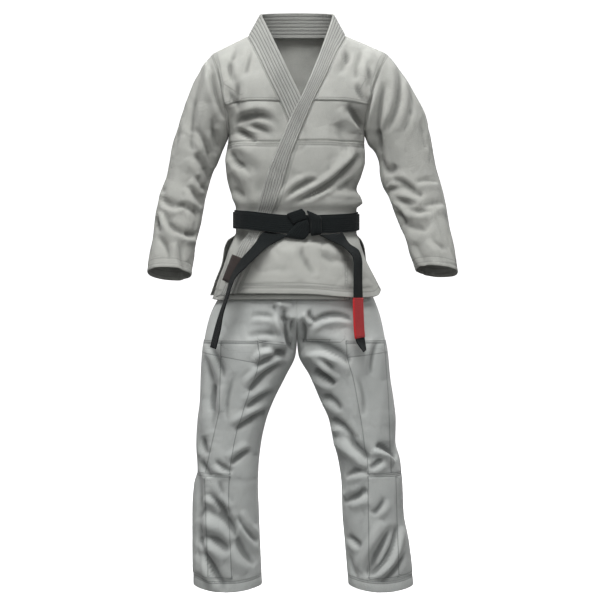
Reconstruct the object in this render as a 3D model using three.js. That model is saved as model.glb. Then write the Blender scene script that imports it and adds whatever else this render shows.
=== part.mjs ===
// A jiu-jitsu gi as it is worn: wrapped jacket, trousers and tied belt, each a thin wall of cloth.
// Millimetres, +Z up, the chest faces -Y, +X is the wearer's left.
// The origin is on the middle of the shoulder line at the base of the neck, where the wearer carries it.
import * as THREE from "three";

// Thickness of each cloth, and the gap that is left at every seam.
const jacketCloth = 2.2;
const trouserCloth = 1.6;
const patchCloth = 1.2;
const lapelThick = 6;
const lapelWidth = 51;
const beltThick = 3.2;
const beltWidth = 40;
const labelThick = 1;
const seamGap = 0.3;
const halfGap = seamGap / 2 + 0.02;
const patchGap = 0.45;

// Levels, measured from the base of the neck.
const pitLevel = -250;
const chestSeam = -272;
const ventTop = -495;
const beltSag = 12;
const jacketHem = -640;
const waistbandBottom = -470;
const crotchLevel = -790;
const forkLevel = -700;
const thighSeam = -757;
const kneeSeam = -1090;
const trouserHem = -1368;

// Where the shoulder seam starts at the neck, and where it ends at the armhole.
const neckHalf = 118;
const tipLevel = -47;
const tipRight = 212;
const tipLeft = 226;
// The armhole: its half depth, and how hollow its edge is in front view.
const armholeDepth = 84;
const armholeHollow = 1.7;
// The neck: how far the back's neckline lies behind the shoulder line, and how far above it.
const neckDepth = 66;
const napeLevel = 4;
const neckCurl = 5;
// Where the collar's free edge passes over the shoulder on the left side, and how far it rises behind.
const collarSide = { x: 89, y: -4, z: 51 };
const collarRise = 6;

// How square the sections are: 1 is an ellipse, less is squarer.
const squareness = 0.86;
const sleeveSquareness = 0.9;
// How the chest's depth runs out towards the shoulder line, and how near the side the vent opens.
const chestFall = 3;
const chestRound = 0.6;
const ventCurl = 5;
// The front sags with the belt from here down, over this distance.
const sagTop = -400;
const sagRun = 40;
// Half length and half depth of the waist's oval, for the directions out of it.
const waistHalf = 150;
const waistDeep = 95;

// Half widths and depths of the jacket, from the armpit to the hem. Right is the wearer's right, at -X.
// Below the belt the side vents part the front skirt from the back skirt by twice the vent column.
const torsoRows = [
  { z: -250, frontRight: 170, backRight: 170, frontLeft: 168, backLeft: 168, front: 118, back: 112, vent: 0 },
  { z: -280, frontRight: 175, backRight: 175, frontLeft: 169, backLeft: 169, front: 120, back: 113, vent: 0 },
  { z: -312, frontRight: 179, backRight: 179, frontLeft: 170, backLeft: 170, front: 120, back: 112, vent: 0 },
  { z: -350, frontRight: 176, backRight: 176, frontLeft: 161, backLeft: 161, front: 117, back: 108, vent: 0 },
  { z: -385, frontRight: 168, backRight: 168, frontLeft: 149, backLeft: 149, front: 112, back: 104, vent: 0 },
  { z: -404, frontRight: 161, backRight: 161, frontLeft: 160, backLeft: 160, front: 112, back: 106, vent: 0 },
  { z: -418, frontRight: 156, backRight: 156, frontLeft: 164, backLeft: 164, front: 108, back: 102, vent: 0 },
  { z: -431, frontRight: 153, backRight: 153, frontLeft: 149, backLeft: 149, front: 98, back: 92, vent: 0 },
  { z: -494, frontRight: 153, backRight: 153, frontLeft: 149, backLeft: 149, front: 98, back: 92, vent: 0 },
  { z: -510, frontRight: 160, backRight: 174, frontLeft: 155, backLeft: 162, front: 106, back: 100, vent: 5 },
  { z: -530, frontRight: 167, backRight: 183, frontLeft: 161, backLeft: 170, front: 115, back: 110, vent: 10 },
  { z: -560, frontRight: 177, backRight: 188, frontLeft: 171, backLeft: 174, front: 121, back: 116, vent: 14 },
  { z: -605, frontRight: 196, backRight: 206, frontLeft: 192, backLeft: 184, front: 128, back: 122, vent: 19 },
  { z: -660, frontRight: 212, backRight: 226, frontLeft: 220, backLeft: 196, front: 134, back: 127, vent: 24 },
];

// How far each hem hangs below its level, from u = -1 on the wearer's right to u = 1.
// The columns are the left front, which lies over the other, the right front under it, and the back.
const hemRows = [
  { u: -1, over: -14, under: 17, back: 8 },
  { u: -0.75, over: -6, under: 17, back: 7.5 },
  { u: -0.4, over: 4, under: 17, back: 6.8 },
  { u: 0, over: 5, under: 17, back: 6 },
  { u: 0.45, over: 14, under: 17, back: 5.1 },
  { u: 0.75, over: 10, under: 17, back: 4.5 },
  { u: 1, over: -6, under: 17, back: 4 },
];

// The middle of the overlapping left lapel as it runs from the shoulder across to the right hip.
const lapelRows = [
  { z: 0, x: 95 },
  { z: -60, x: 66 },
  { z: -120, x: 38 },
  { z: -175, x: 11 },
  { z: -229, x: -12 },
  { z: -307, x: -43 },
  { z: -414, x: -76 },
  { z: -450, x: -92 },
  { z: -495, x: -117 },
  { z: -560, x: -143 },
  { z: -640, x: -177 },
];
// The hidden right lapel is the same, but from this level down it grows a little less far across.
const hiddenLapelShare = 0.86;
const hiddenLapelTop = -200;
const hiddenLapelRun = 200;
// The lapel's seam lies this share of its width from its middle, and bends to the shoulder seam at the neck.
const lapelSeamShare = 0.56;
const neckRun = 40;
// The lapel stands up into the collar over this height below the shoulder line.
const standRun = 105;
// How high the lapel's edges are, as a share of its thickness.
const lapelEdge = 0.62;
// The lapel's direction is measured over this distance each way, and it stays this far below the shoulder.
const lapelAhead = 12;
const shoulderEdge = 3;
// Channels sewn along the lapel, and how deep each row of stitches sinks.
const lapelChannels = 7;
const channelDepth = 0.9;
// How far under the left front the right one lies: at the chest and at the belt.
const tuckRows = [
  { z: -60, tuck: 3 },
  { z: -115, tuck: 10 },
  { z: -200, tuck: 16 },
  { z: -385, tuck: 16 },
  { z: -430, tuck: 11 },
  { z: -495, tuck: 11 },
  { z: -550, tuck: 13 },
  { z: -660, tuck: 10 },
];
const tuckRun = 0.35;
const tuckFade = 30;
const shoulderHalf = 190;
// Below this level the side edge of the right front swings in, by this share of u over this height.
const underSideShare = 0.2;
const underSideTop = -500;
const underSideRun = 90;
// The belt presses the cloth flat from here to here, and the folds fade in over this distance beyond.
const pressedTop = -432;
const pressedBottom = -492;
const pressedFade = 38;

// Sleeves in front view: outer and inner edge of each ring, the place of its middle, and its half depth.
const rightSleeveRows = [
  { outerX: -250, outerZ: -90, innerX: -177, innerZ: -264, middleY: 0, depth: 82 },
  { outerX: -268, outerZ: -132, innerX: -186, innerZ: -282, middleY: 2, depth: 79 },
  { outerX: -282, outerZ: -178, innerX: -193, innerZ: -300, middleY: 4, depth: 76 },
  { outerX: -297, outerZ: -228, innerX: -201, innerZ: -320, middleY: 5, depth: 73 },
  { outerX: -312, outerZ: -274, innerX: -211, innerZ: -344, middleY: 5, depth: 70 },
  { outerX: -320, outerZ: -315, innerX: -221, innerZ: -376, middleY: 4, depth: 67 },
  { outerX: -326, outerZ: -352, innerX: -229, innerZ: -408, middleY: 0, depth: 65 },
  { outerX: -342, outerZ: -400, innerX: -236, innerZ: -448, middleY: -8, depth: 62 },
  { outerX: -352, outerZ: -450, innerX: -243, innerZ: -490, middleY: -20, depth: 59 },
  { outerX: -357, outerZ: -500, innerX: -252, innerZ: -526, middleY: -34, depth: 56 },
  { outerX: -365, outerZ: -550, innerX: -256, innerZ: -562, middleY: -49, depth: 54 },
  { outerX: -369, outerZ: -592, innerX: -260, innerZ: -599, middleY: -62, depth: 52 },
];
const leftSleeveRows = [
  { outerX: 262, outerZ: -88, innerX: 174, innerZ: -262, middleY: 0, depth: 82 },
  { outerX: 283, outerZ: -124, innerX: 184, innerZ: -278, middleY: 2, depth: 80 },
  { outerX: 302, outerZ: -160, innerX: 197, innerZ: -297, middleY: 4, depth: 77 },
  { outerX: 322, outerZ: -203, innerX: 205, innerZ: -320, middleY: 5, depth: 74 },
  { outerX: 332, outerZ: -245, innerX: 208, innerZ: -346, middleY: 5, depth: 71 },
  { outerX: 340, outerZ: -287, innerX: 216, innerZ: -375, middleY: 4, depth: 68 },
  { outerX: 348, outerZ: -330, innerX: 230, innerZ: -400, middleY: 0, depth: 65 },
  { outerX: 361, outerZ: -376, innerX: 242, innerZ: -434, middleY: -8, depth: 62 },
  { outerX: 372, outerZ: -425, innerX: 255, innerZ: -472, middleY: -20, depth: 59 },
  { outerX: 379, outerZ: -477, innerX: 268, innerZ: -507, middleY: -34, depth: 56 },
  { outerX: 390, outerZ: -535, innerX: 281, innerZ: -548, middleY: -49, depth: 54 },
  { outerX: 397, outerZ: -594, innerX: 294, innerZ: -585, middleY: -62, depth: 52 },
];

// A sleeve turns from the armhole's form into its own over this many rings, and starts this far on the way.
const sleeveTurning = 5;
const sleeveStart = 0.35;
const armholeGap = 0.4;

// Trousers in front view: outer and inner edge of each leg from the middle, the front and back depth,
// and how far across the leg, from its inner edge, the seam runs that borders the knee patch.
const rightLegRows = [
  { z: -470, outer: 139, inner: 0, front: 78, back: 87, seam: 0.4 },
  { z: -500, outer: 138, inner: 0, front: 78, back: 86, seam: 0.4 },
  { z: -530, outer: 147, inner: 0, front: 88, back: 96, seam: 0.4 },
  { z: -570, outer: 158, inner: 0, front: 96, back: 106, seam: 0.4 },
  { z: -610, outer: 170, inner: 0, front: 101, back: 109, seam: 0.4 },
  { z: -650, outer: 194, inner: 0, front: 106, back: 112, seam: 0.4 },
  { z: -700, outer: 218, inner: 0, front: 113, back: 114, seam: 0.4 },
  { z: -757, outer: 231, inner: 0, front: 112, back: 110, seam: 0.4 },
  { z: -795, outer: 236, inner: 3, front: 108, back: 106, seam: 0.37 },
  { z: -850, outer: 239, inner: 28, front: 103, back: 101, seam: 0.35 },
  { z: -910, outer: 241, inner: 58, front: 97, back: 96, seam: 0.35 },
  { z: -960, outer: 247, inner: 77, front: 93, back: 92, seam: 0.36 },
  { z: -1020, outer: 250, inner: 90, front: 90, back: 88, seam: 0.39 },
  { z: -1080, outer: 247, inner: 96, front: 87, back: 84, seam: 0.43 },
  { z: -1120, outer: 256, inner: 97, front: 83, back: 82, seam: 0.42 },
  { z: -1180, outer: 260, inner: 95, front: 79, back: 79, seam: 0.42 },
  { z: -1260, outer: 260, inner: 92, front: 74, back: 76, seam: 0.41 },
  { z: -1368, outer: 259, inner: 87, front: 70, back: 72, seam: 0.4 },
];
const leftLegRows = [
  { z: -470, outer: 136, inner: 0, front: 78, back: 87, seam: 0.52 },
  { z: -500, outer: 135, inner: 0, front: 78, back: 86, seam: 0.52 },
  { z: -530, outer: 143, inner: 0, front: 88, back: 96, seam: 0.52 },
  { z: -570, outer: 154, inner: 0, front: 96, back: 106, seam: 0.52 },
  { z: -610, outer: 166, inner: 0, front: 101, back: 109, seam: 0.52 },
  { z: -650, outer: 189, inner: 0, front: 106, back: 112, seam: 0.52 },
  { z: -700, outer: 208, inner: 0, front: 113, back: 114, seam: 0.52 },
  { z: -757, outer: 220, inner: 0, front: 112, back: 110, seam: 0.53 },
  { z: -795, outer: 226, inner: 3, front: 108, back: 106, seam: 0.52 },
  { z: -850, outer: 231, inner: 32, front: 103, back: 101, seam: 0.51 },
  { z: -910, outer: 240, inner: 58, front: 97, back: 96, seam: 0.48 },
  { z: -960, outer: 245, inner: 80, front: 93, back: 92, seam: 0.45 },
  { z: -1010, outer: 244, inner: 90, front: 90, back: 88, seam: 0.46 },
  { z: -1060, outer: 256, inner: 103, front: 88, back: 85, seam: 0.44 },
  { z: -1120, outer: 262, inner: 111, front: 84, back: 82, seam: 0.4 },
  { z: -1190, outer: 265, inner: 113, front: 79, back: 79, seam: 0.39 },
  { z: -1260, outer: 278, inner: 119, front: 75, back: 76, seam: 0.35 },
  { z: -1368, outer: 291, inner: 128, front: 70, back: 72, seam: 0.28 },
];
// The trouser hems hang lower in the middle of the front, and a little higher behind.
const hemDrop = 12;
const hemRise = 0.4;
const legMiddle = 120;
// How far inside the jacket the waistband lies: behind, and under the tucked front.
const bandClear = 0.8;
const bandTuck = 14.5;
const bandRows = 3;

// Folds in front view: a soft trough from one end to the other, bowed sideways in its middle.
// Width is its half width, depth how far it sinks, and lip the ridge beside it, as a share of the depth.
const frontFolds = [
  { fromX: -148, fromZ: -205, toX: -38, toZ: -222, bow: -18, width: 13, depth: 9, lip: -0.7 },
  { fromX: -118, fromZ: -222, toX: -48, toZ: -254, bow: -4, width: 11, depth: 7, lip: -0.6 },
  { fromX: -155, fromZ: -228, toX: -104, toZ: -262, bow: 0, width: 11, depth: 6, lip: -0.5 },
  { fromX: -150, fromZ: -100, toX: -143, toZ: -208, bow: 4, width: 13, depth: 8, lip: -0.6 },
  { fromX: -150, fromZ: -20, toX: -172, toZ: -112, bow: 3, width: 11, depth: 4, lip: 0.5 },
  { fromX: -172, fromZ: -292, toX: -88, toZ: -356, bow: -6, width: 14, depth: 9, lip: -0.6 },
  { fromX: -168, fromZ: -345, toX: -118, toZ: -418, bow: 5, width: 14, depth: 6, lip: -0.5 },
  { fromX: 140, fromZ: -30, toX: 108, toZ: -98, bow: 3, width: 12, depth: 5, lip: 0.5 },
  { fromX: 163, fromZ: -30, toX: 146, toZ: -112, bow: 3, width: 11, depth: 6, lip: -0.6 },
  { fromX: 128, fromZ: -168, toX: 164, toZ: -228, bow: 4, width: 12, depth: 8, lip: 0.6 },
  { fromX: 100, fromZ: -215, toX: 124, toZ: -290, bow: 0, width: 20, depth: 6, lip: 0.4 },
  { fromX: 105, fromZ: -352, toX: 158, toZ: -292, bow: 6, width: 12, depth: 7, lip: -0.6 },
  { fromX: -34, fromZ: -436, toX: 100, toZ: -340, bow: 20, width: 11, depth: 8, lip: -0.7 },
  { fromX: -30, fromZ: -420, toX: 20, toZ: -366, bow: 8, width: 9, depth: 6, lip: 0.6 },
  { fromX: 60, fromZ: -428, toX: 158, toZ: -402, bow: 10, width: 11, depth: 7, lip: 0.7 },
  { fromX: 10, fromZ: -515, toX: 45, toZ: -598, bow: 8, width: 15, depth: 5, lip: 0.6 },
  { fromX: 110, fromZ: -500, toX: 165, toZ: -615, bow: 10, width: 14, depth: 6, lip: 0.6 },
];
const backFolds = [
  { fromX: -150, fromZ: -100, toX: -118, toZ: -230, bow: 8, width: 15, depth: 8, lip: 0.6 },
  { fromX: 152, fromZ: -96, toX: 112, toZ: -236, bow: -8, width: 15, depth: 8, lip: -0.6 },
  { fromX: -150, fromZ: -292, toX: -40, toZ: -372, bow: -12, width: 15, depth: 8, lip: 0.5 },
  { fromX: 146, fromZ: -300, toX: 44, toZ: -350, bow: 12, width: 15, depth: 7, lip: -0.5 },
  { fromX: -20, fromZ: -432, toX: 60, toZ: -352, bow: 8, width: 12, depth: 7, lip: 0.6 },
  { fromX: -110, fromZ: -428, toX: -66, toZ: -372, bow: 6, width: 11, depth: 6, lip: 0.6 },
  { fromX: 118, fromZ: -430, toX: 92, toZ: -378, bow: -6, width: 11, depth: 6, lip: 0.6 },
  { fromX: -60, fromZ: -505, toX: -92, toZ: -612, bow: 5, width: 16, depth: 6, lip: 0.6 },
  { fromX: 56, fromZ: -505, toX: 82, toZ: -606, bow: 5, width: 16, depth: 6, lip: 0.6 },
];
const rightSleeveFolds = [
  { fromX: -232, fromZ: -90, toX: -256, toZ: -292, bow: 12, width: 13, depth: 10, lip: -0.6 },
  { fromX: -208, fromZ: -92, toX: -188, toZ: -200, bow: 6, width: 10, depth: 8, lip: 0.6 },
  { fromX: -250, fromZ: -300, toX: -216, toZ: -372, bow: -6, width: 12, depth: 9, lip: 0.7 },
  { fromX: -342, fromZ: -402, toX: -290, toZ: -440, bow: 5, width: 10, depth: 7, lip: 0.7 },
  { fromX: -346, fromZ: -434, toX: -334, toZ: -492, bow: 6, width: 9, depth: 6, lip: -0.6 },
  { fromX: -322, fromZ: -462, toX: -246, toZ: -500, bow: 12, width: 11, depth: 8, lip: 0.7 },
];
const leftSleeveFolds = [
  { fromX: 214, fromZ: -125, toX: 197, toZ: -286, bow: 6, width: 11, depth: 9, lip: 0.7 },
  { fromX: 250, fromZ: -92, toX: 220, toZ: -242, bow: -14, width: 11, depth: 7, lip: 0.7 },
  { fromX: 226, fromZ: -352, toX: 246, toZ: -330, bow: 0, width: 13, depth: 7, lip: 0.5 },
  { fromX: 228, fromZ: -384, toX: 312, toZ: -404, bow: -8, width: 11, depth: 10, lip: 0.7 },
  { fromX: 300, fromZ: -434, toX: 366, toZ: -418, bow: -4, width: 10, depth: 6, lip: 0.6 },
  { fromX: 258, fromZ: -470, toX: 330, toZ: -480, bow: 8, width: 12, depth: 5, lip: 0.6 },
];
const rightLegFolds = [
  { fromX: -34, fromZ: -792, toX: -106, toZ: -836, bow: 4, width: 12, depth: 9, lip: 0.7 },
  { fromX: -42, fromZ: -828, toX: -118, toZ: -884, bow: 10, width: 12, depth: 9, lip: 0.7 },
  { fromX: -62, fromZ: -896, toX: -106, toZ: -924, bow: 3, width: 11, depth: 7, lip: 0.6 },
  { fromX: -78, fromZ: -942, toX: -156, toZ: -988, bow: 3, width: 11, depth: 8, lip: 0.6 },
  { fromX: -112, fromZ: -1034, toX: -168, toZ: -1072, bow: 3, width: 10, depth: 7, lip: 0.6 },
  { fromX: -206, fromZ: -870, toX: -212, toZ: -940, bow: 4, width: 12, depth: 6, lip: -0.6 },
  { fromX: -234, fromZ: -1000, toX: -224, toZ: -1048, bow: 4, width: 12, depth: 8, lip: 0.6 },
  { fromX: -234, fromZ: -1188, toX: -152, toZ: -1228, bow: -10, width: 15, depth: 10, lip: 0.7 },
  { fromX: -226, fromZ: -1236, toX: -168, toZ: -1280, bow: -4, width: 12, depth: 9, lip: 0.7 },
  { fromX: -218, fromZ: -1288, toX: -184, toZ: -1358, bow: 0, width: 12, depth: 8, lip: 0.7 },
  { fromX: -150, fromZ: -1256, toX: -106, toZ: -1308, bow: -3, width: 12, depth: 7, lip: 0.7 },
  { fromX: -196, fromZ: -1112, toX: -172, toZ: -1196, bow: 3, width: 10, depth: 6, lip: 0.6 },
  { fromX: -128, fromZ: -756, toX: -34, toZ: -752, bow: -8, width: 11, depth: 5, lip: 0.6 },
  { fromX: -18, fromZ: -690, toX: -14, toZ: -770, bow: 4, width: 10, depth: 6, lip: 0.6 },
];
const leftLegFolds = [
  { fromX: 18, fromZ: -770, toX: 136, toZ: -818, bow: -16, width: 15, depth: 10, lip: 0.7 },
  { fromX: 38, fromZ: -836, toX: 94, toZ: -872, bow: -3, width: 12, depth: 8, lip: 0.7 },
  { fromX: 66, fromZ: -894, toX: 112, toZ: -936, bow: -3, width: 11, depth: 7, lip: 0.7 },
  { fromX: 88, fromZ: -954, toX: 148, toZ: -1012, bow: -3, width: 11, depth: 8, lip: 0.7 },
  { fromX: 100, fromZ: -990, toX: 188, toZ: -1066, bow: -4, width: 14, depth: 11, lip: 0.7 },
  { fromX: 196, fromZ: -1022, toX: 250, toZ: -1052, bow: -8, width: 11, depth: 8, lip: 0.7 },
  { fromX: 178, fromZ: -1080, toX: 214, toZ: -1054, bow: 3, width: 10, depth: 6, lip: 0.6 },
  { fromX: 122, fromZ: -1150, toX: 176, toZ: -1134, bow: 3, width: 14, depth: 8, lip: 0.6 },
  { fromX: 238, fromZ: -1222, toX: 174, toZ: -1342, bow: 3, width: 15, depth: 9, lip: 0.7 },
  { fromX: 126, fromZ: -1248, toX: 162, toZ: -1270, bow: 0, width: 10, depth: 6, lip: 0.6 },
  { fromX: 40, fromZ: -690, toX: 134, toZ: -712, bow: 14, width: 11, depth: 7, lip: 0.7 },
  { fromX: 16, fromZ: -690, toX: 14, toZ: -770, bow: -4, width: 10, depth: 6, lip: 0.6 },
];
// Hidden sides carry the same folds, softened and moved down by this much.
const hiddenShift = 34;
const hiddenShare = 0.75;
// How bluntly a fold ends, and how far from the trough its lip lies and spreads, in half widths.
const foldBlunt = 0.6;
const lipAway = 1.9;
const lipSpread = 1.2;
// Folds run out before a panel's side seams, the shoulder, a leg's seams and the waist.
const foldSideFade = 0.14;
const foldShoulderFade = 0.12;
const foldLegFade = 0.09;
const foldHipTop = -500;
const foldHipFade = 30;

// Tails of the belt: middle of the strap, and from there to its edge on the wearer's left.
// The first row lies along the lower edge of the belt, from behind which the tail comes out.
const rightTailRows = [
  { x: -50, y: -97.7, z: -497.6, edgeX: 28.5, edgeY: -4, edgeZ: -4.6 },
  { x: -74, y: -106, z: -511, edgeX: 13, edgeY: -8.5, edgeZ: -12.2 },
  { x: -101, y: -121, z: -537, edgeX: 9.4, edgeY: -15.4, edgeZ: -8.4 },
  { x: -132, y: -127, z: -569, edgeX: 8.1, edgeY: -16.5, edgeZ: -7.8 },
  { x: -159, y: -132, z: -605, edgeX: 5, edgeY: -19.1, edgeZ: -2.9 },
  { x: -176, y: -135, z: -656, edgeX: 4, edgeY: -19.6, edgeZ: -1 },
  { x: -189, y: -136, z: -695, edgeX: 6, edgeY: -19, edgeZ: -1.5 },
  { x: -199, y: -136, z: -735, edgeX: 8.5, edgeY: -18, edgeZ: -2 },
  { x: -209.5, y: -135, z: -777, edgeX: 8, edgeY: -18.2, edgeZ: -2 },
];
const leftTailRows = [
  { x: 83, y: -91, z: -499.4, edgeX: 28, edgeY: 10, edgeZ: 1.8 },
  { x: 102.5, y: -99, z: -508, edgeX: 9.5, edgeY: 13, edgeZ: 11.9 },
  { x: 124, y: -105, z: -529, edgeX: 4.5, edgeY: 18.3, edgeZ: 6.7 },
  { x: 144.5, y: -107, z: -549, edgeX: 7.7, edgeY: 16.1, edgeZ: 9 },
  { x: 152, y: -113, z: -573, edgeX: 10.5, edgeY: 16.7, edgeZ: 3 },
  { x: 152.5, y: -123, z: -610, edgeX: 10.3, edgeY: 17.1, edgeZ: 0 },
  { x: 152.5, y: -131, z: -655, edgeX: 11, edgeY: 16.7, edgeZ: 0 },
  { x: 153.5, y: -134, z: -704, edgeX: 11.3, edgeY: 16.5, edgeZ: 0.5 },
  { x: 157, y: -135, z: -752, edgeX: 11, edgeY: 16.6, edgeZ: 1.5 },
  { x: 171, y: -135, z: -784, edgeX: 9, edgeY: 17.6, edgeZ: 3 },
];
const tailSteps = 2;
// The rank bar is a sleeve round the left tail from its seventh row to its ninth.
const barFrom = 6;
const barTo = 8;
const barWall = 1;
// The belt goes round twice: how far each turn lies off the jacket, and above or below the middle.
const beltWraps = [
  { name: "belt_inner_wrap", lift: 0.8, shift: 2.5 },
  { name: "belt_outer_wrap", lift: 4.3, shift: -2.5 },
];
// Middle of the belt from the wearer's right side, u = -1, to the left side.
const beltLevels = [
  { u: -1, front: -457, back: -458 },
  { u: -0.5, front: -464, back: -458 },
  { u: 0, front: -475, back: -459 },
  { u: 0.5, front: -471, back: -460 },
  { u: 1, front: -462, back: -462 },
];
// Where the belt crosses the lapel it stands off by the lapel's height.
const overLapel = { from: -150, to: -40, run: 30, height: 4.4 };
// Knot: three folds of the strap, each an outline in front view, with how far forward its back and face lie.
const knotFolds = [
  {
    name: "knot_flap", back: -105.9, face: -112.5,
    outline: [[-26, -450], [12, -436.5], [21, -446], [23, -462], [-2, -471], [-8, -477]],
  },
  {
    name: "knot_lower_fold", back: -105.9, face: -111,
    outline: [[-2, -472.5], [24, -463.5], [30, -475], [29.5, -500], [17, -513], [-31, -506], [-16, -491]],
  },
  {
    name: "knot_loop", back: -104.8, face: -117,
    outline: [[23, -440], [55, -454], [60, -459], [60, -500], [34, -504], [33, -488], [33, -473], [27, -452]],
  },
];
// How much of each outline is left as the fold rises from its back, at 0, to its face, at 1.
const knotRounding = [
  { rise: 0, inset: 1 },
  { rise: 0.35, inset: 1 },
  { rise: 0.78, inset: 0.93 },
  { rise: 1, inset: 0.76 },
];

// Steps over which the directions of a surface are measured.
const shareStep = 0.004;
const levelStep = 2;

// How finely the cloth is divided.
const armholeSteps = 8;
const skirtSteps = 5;
const waistLevels = [-470, -450, -431, -418, -404, -378, -346, -310];
const frontColumns = 11;
const shoulderColumns = 5;
const neckColumns = 8;
const seamColumn = 3;
const legColumns = 8;
const hipSteps = 8;
const thighSteps = 10;
const shinSteps = 9;
const shinPatchSteps = 8;
const beltColumns = 12;

const point = (x, y, z) => new THREE.Vector3(x, y, z);
const clamp01 = (value) => Math.min(1, Math.max(0, value));
const smooth = (value) => clamp01(value) ** 2 * (3 - 2 * clamp01(value));
const mix = (a, b, share) => a + (b - a) * share;
const range = (count, make) => Array.from({ length: count }, (_, i) => make(i));

// Reads one column of a table at any level, on a smooth curve through its rows that never overshoots them.
function reader(rows, column, key = "z") {
  const sorted = [...rows].sort((a, b) => a[key] - b[key]);
  const at = sorted.map((row) => row[key]);
  const value = sorted.map((row) => row[column]);
  const last = at.length - 1;
  const steep = at.slice(1).map((_, i) => (value[i + 1] - value[i]) / (at[i + 1] - at[i]));
  const slope = at.map((_, i) => {
    const [before, after] = [steep[Math.max(0, i - 1)], steep[Math.min(last - 1, i)]];
    return before * after > 0 ? (2 * before * after) / (before + after) : 0;
  });
  return (level) => {
    const here = Math.min(at[last], Math.max(at[0], level));
    let i = 0;
    while (i < last - 1 && here > at[i + 1]) i += 1;
    const span = at[i + 1] - at[i];
    const s = (here - at[i]) / span;
    const ends = (1 + 2 * s) * (1 - s) ** 2 * value[i] + s ** 2 * (3 - 2 * s) * value[i + 1];
    const slopes = s * (1 - s) ** 2 * slope[i] - s ** 2 * (1 - s) * slope[i + 1];
    return ends + span * slopes;
  };
}

function readers(rows, key = "z") {
  const names = Object.keys(rows[0]).filter((name) => name !== key);
  return Object.fromEntries(names.map((name) => [name, reader(rows, name, key)]));
}

// How far a point of the front view is pushed out by a list of folds.
function foldedBy(folds, x, z) {
  let out = 0;
  for (const fold of folds) {
    const along = [fold.toX - fold.fromX, fold.toZ - fold.fromZ];
    const length = Math.hypot(...along);
    const [dx, dz] = [x - fold.fromX, z - fold.fromZ];
    const share = (dx * along[0] + dz * along[1]) / length ** 2;
    if (share <= 0 || share >= 1) continue;
    const side = (dx * along[1] - dz * along[0]) / length;
    const arch = 4 * share * (1 - share);
    const off = side - fold.bow * arch;
    const lipSide = Math.sign(fold.lip) * lipAway * fold.width;
    const trough = Math.exp(-((off / fold.width) ** 2));
    const ridge = Math.abs(fold.lip) * Math.exp(-(((off - lipSide) / (lipSpread * fold.width)) ** 2));
    out += fold.depth * arch ** foldBlunt * (ridge - trough);
  }
  return out;
}

const torso = readers(torsoRows);
const lapelMiddle = reader(lapelRows, "x");
const tuckAt = reader(tuckRows, "tuck");
const power = (value) => Math.max(0, value) ** squareness;
const acrossOf = (u) => Math.sign(u) * power(Math.sin((Math.abs(u) * Math.PI) / 2));
const depthOf = (u) => power(Math.cos((Math.abs(u) * Math.PI) / 2));
const uOf = (share) => {
  const size = Math.min(1, Math.abs(share)) ** (1 / squareness);
  return (Math.sign(share) * 2 * Math.asin(size)) / Math.PI;
};
const armholeX = (isRight, rise) => {
  const pit = isRight ? torso.frontRight(pitLevel) : torso.frontLeft(pitLevel);
  return mix(pit, isRight ? tipRight : tipLeft, rise ** armholeHollow);
};
// The shoulder line is straight from the neck to each tip.
const shoulderLevel = (x) =>
  (tipLevel * Math.max(0, Math.abs(x) - neckHalf)) / ((x < 0 ? tipRight : tipLeft) - neckHalf);
const hemDropOf = readers(hemRows, "u");

// A point of the jacket's outer surface before folds, on the layer "over", "under" or "back".
// u runs from -1 on the wearer's right to 1. v is the height over the armpit where it is negative,
// and the share of the way from the armpit to the shoulder above it.
function jacketForm(layer, u, v) {
  const face = layer === "back" ? 1 : -1;
  const half = face < 0 ? "front" : "back";
  const side = u < 0 ? "Right" : "Left";
  if (v <= 0) {
    const level = pitLevel + v;
    const x = acrossOf(u) * torso[half + side](level);
    const vent = torso.vent(level) * Math.abs(u) ** ventCurl;
    const y = face * (vent + torso[half](level) * depthOf(u));
    const hang = smooth((ventTop - level) / (ventTop - jacketHem));
    const sag = face < 0 ? beltSag * depthOf(u) * smooth((sagTop - level) / sagRun) * (1 - hang) : 0;
    return point(x, y, level - hang * hemDropOf[layer](u) - sag);
  }
  const x = acrossOf(u) * armholeX(u < 0, v);
  const edge = armholeDepth * 2 * Math.sqrt(Math.max(0, v * (1 - v)));
  const middle = torso[half](pitLevel) * Math.max(0, 1 - v ** chestFall) ** chestRound;
  const neckArc = Math.max(0, 1 - (x / neckHalf) ** 2);
  const neck = face > 0 ? neckDepth * Math.sqrt(neckArc) * v ** neckCurl : 0;
  const nape = face > 0 ? napeLevel * neckArc : 0;
  const z = pitLevel + v * (shoulderLevel(x) + nape - pitLevel);
  return point(x, face * (edge + (middle - edge) * depthOf(u) + neck), z);
}

// Where a point of the front view lies on that surface, as u and v.
function jacketPlace(layer, x, z) {
  const half = layer === "back" ? "back" : "front";
  const side = x < 0 ? "Right" : "Left";
  if (z > pitLevel) {
    const v = Math.min(1, (z - pitLevel) / (shoulderLevel(x) - pitLevel));
    return [uOf(x / armholeX(x < 0, v)), v];
  }
  let level = z;
  let u = 0;
  for (let turn = 0; turn < 5; turn += 1) {
    u = uOf(x / torso[half + side](level));
    level += z - jacketForm(layer, u, level - pitLevel).z;
  }
  return [u, level - pitLevel];
}

// How far the right front dips to pass under the left one: fully at the lapel's free edge, not at the side.
function tuckUnder(u, z) {
  const halfWidth = z > pitLevel ? shoulderHalf : torso.frontRight(z);
  const edge = uOf((lapelMiddle(z) - lapelWidth / 2) / halfWidth);
  const start = Math.max(-1, edge - tuckRun);
  const share = smooth((u - start) / Math.max(shareStep, edge - start));
  return tuckAt(z) * Math.max(share, smooth((ventTop - z) / tuckFade));
}
const unpressed = (z) => {
  const outside = Math.max(z - pressedTop, pressedBottom - z);
  return smooth(outside / pressedFade);
};

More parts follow.
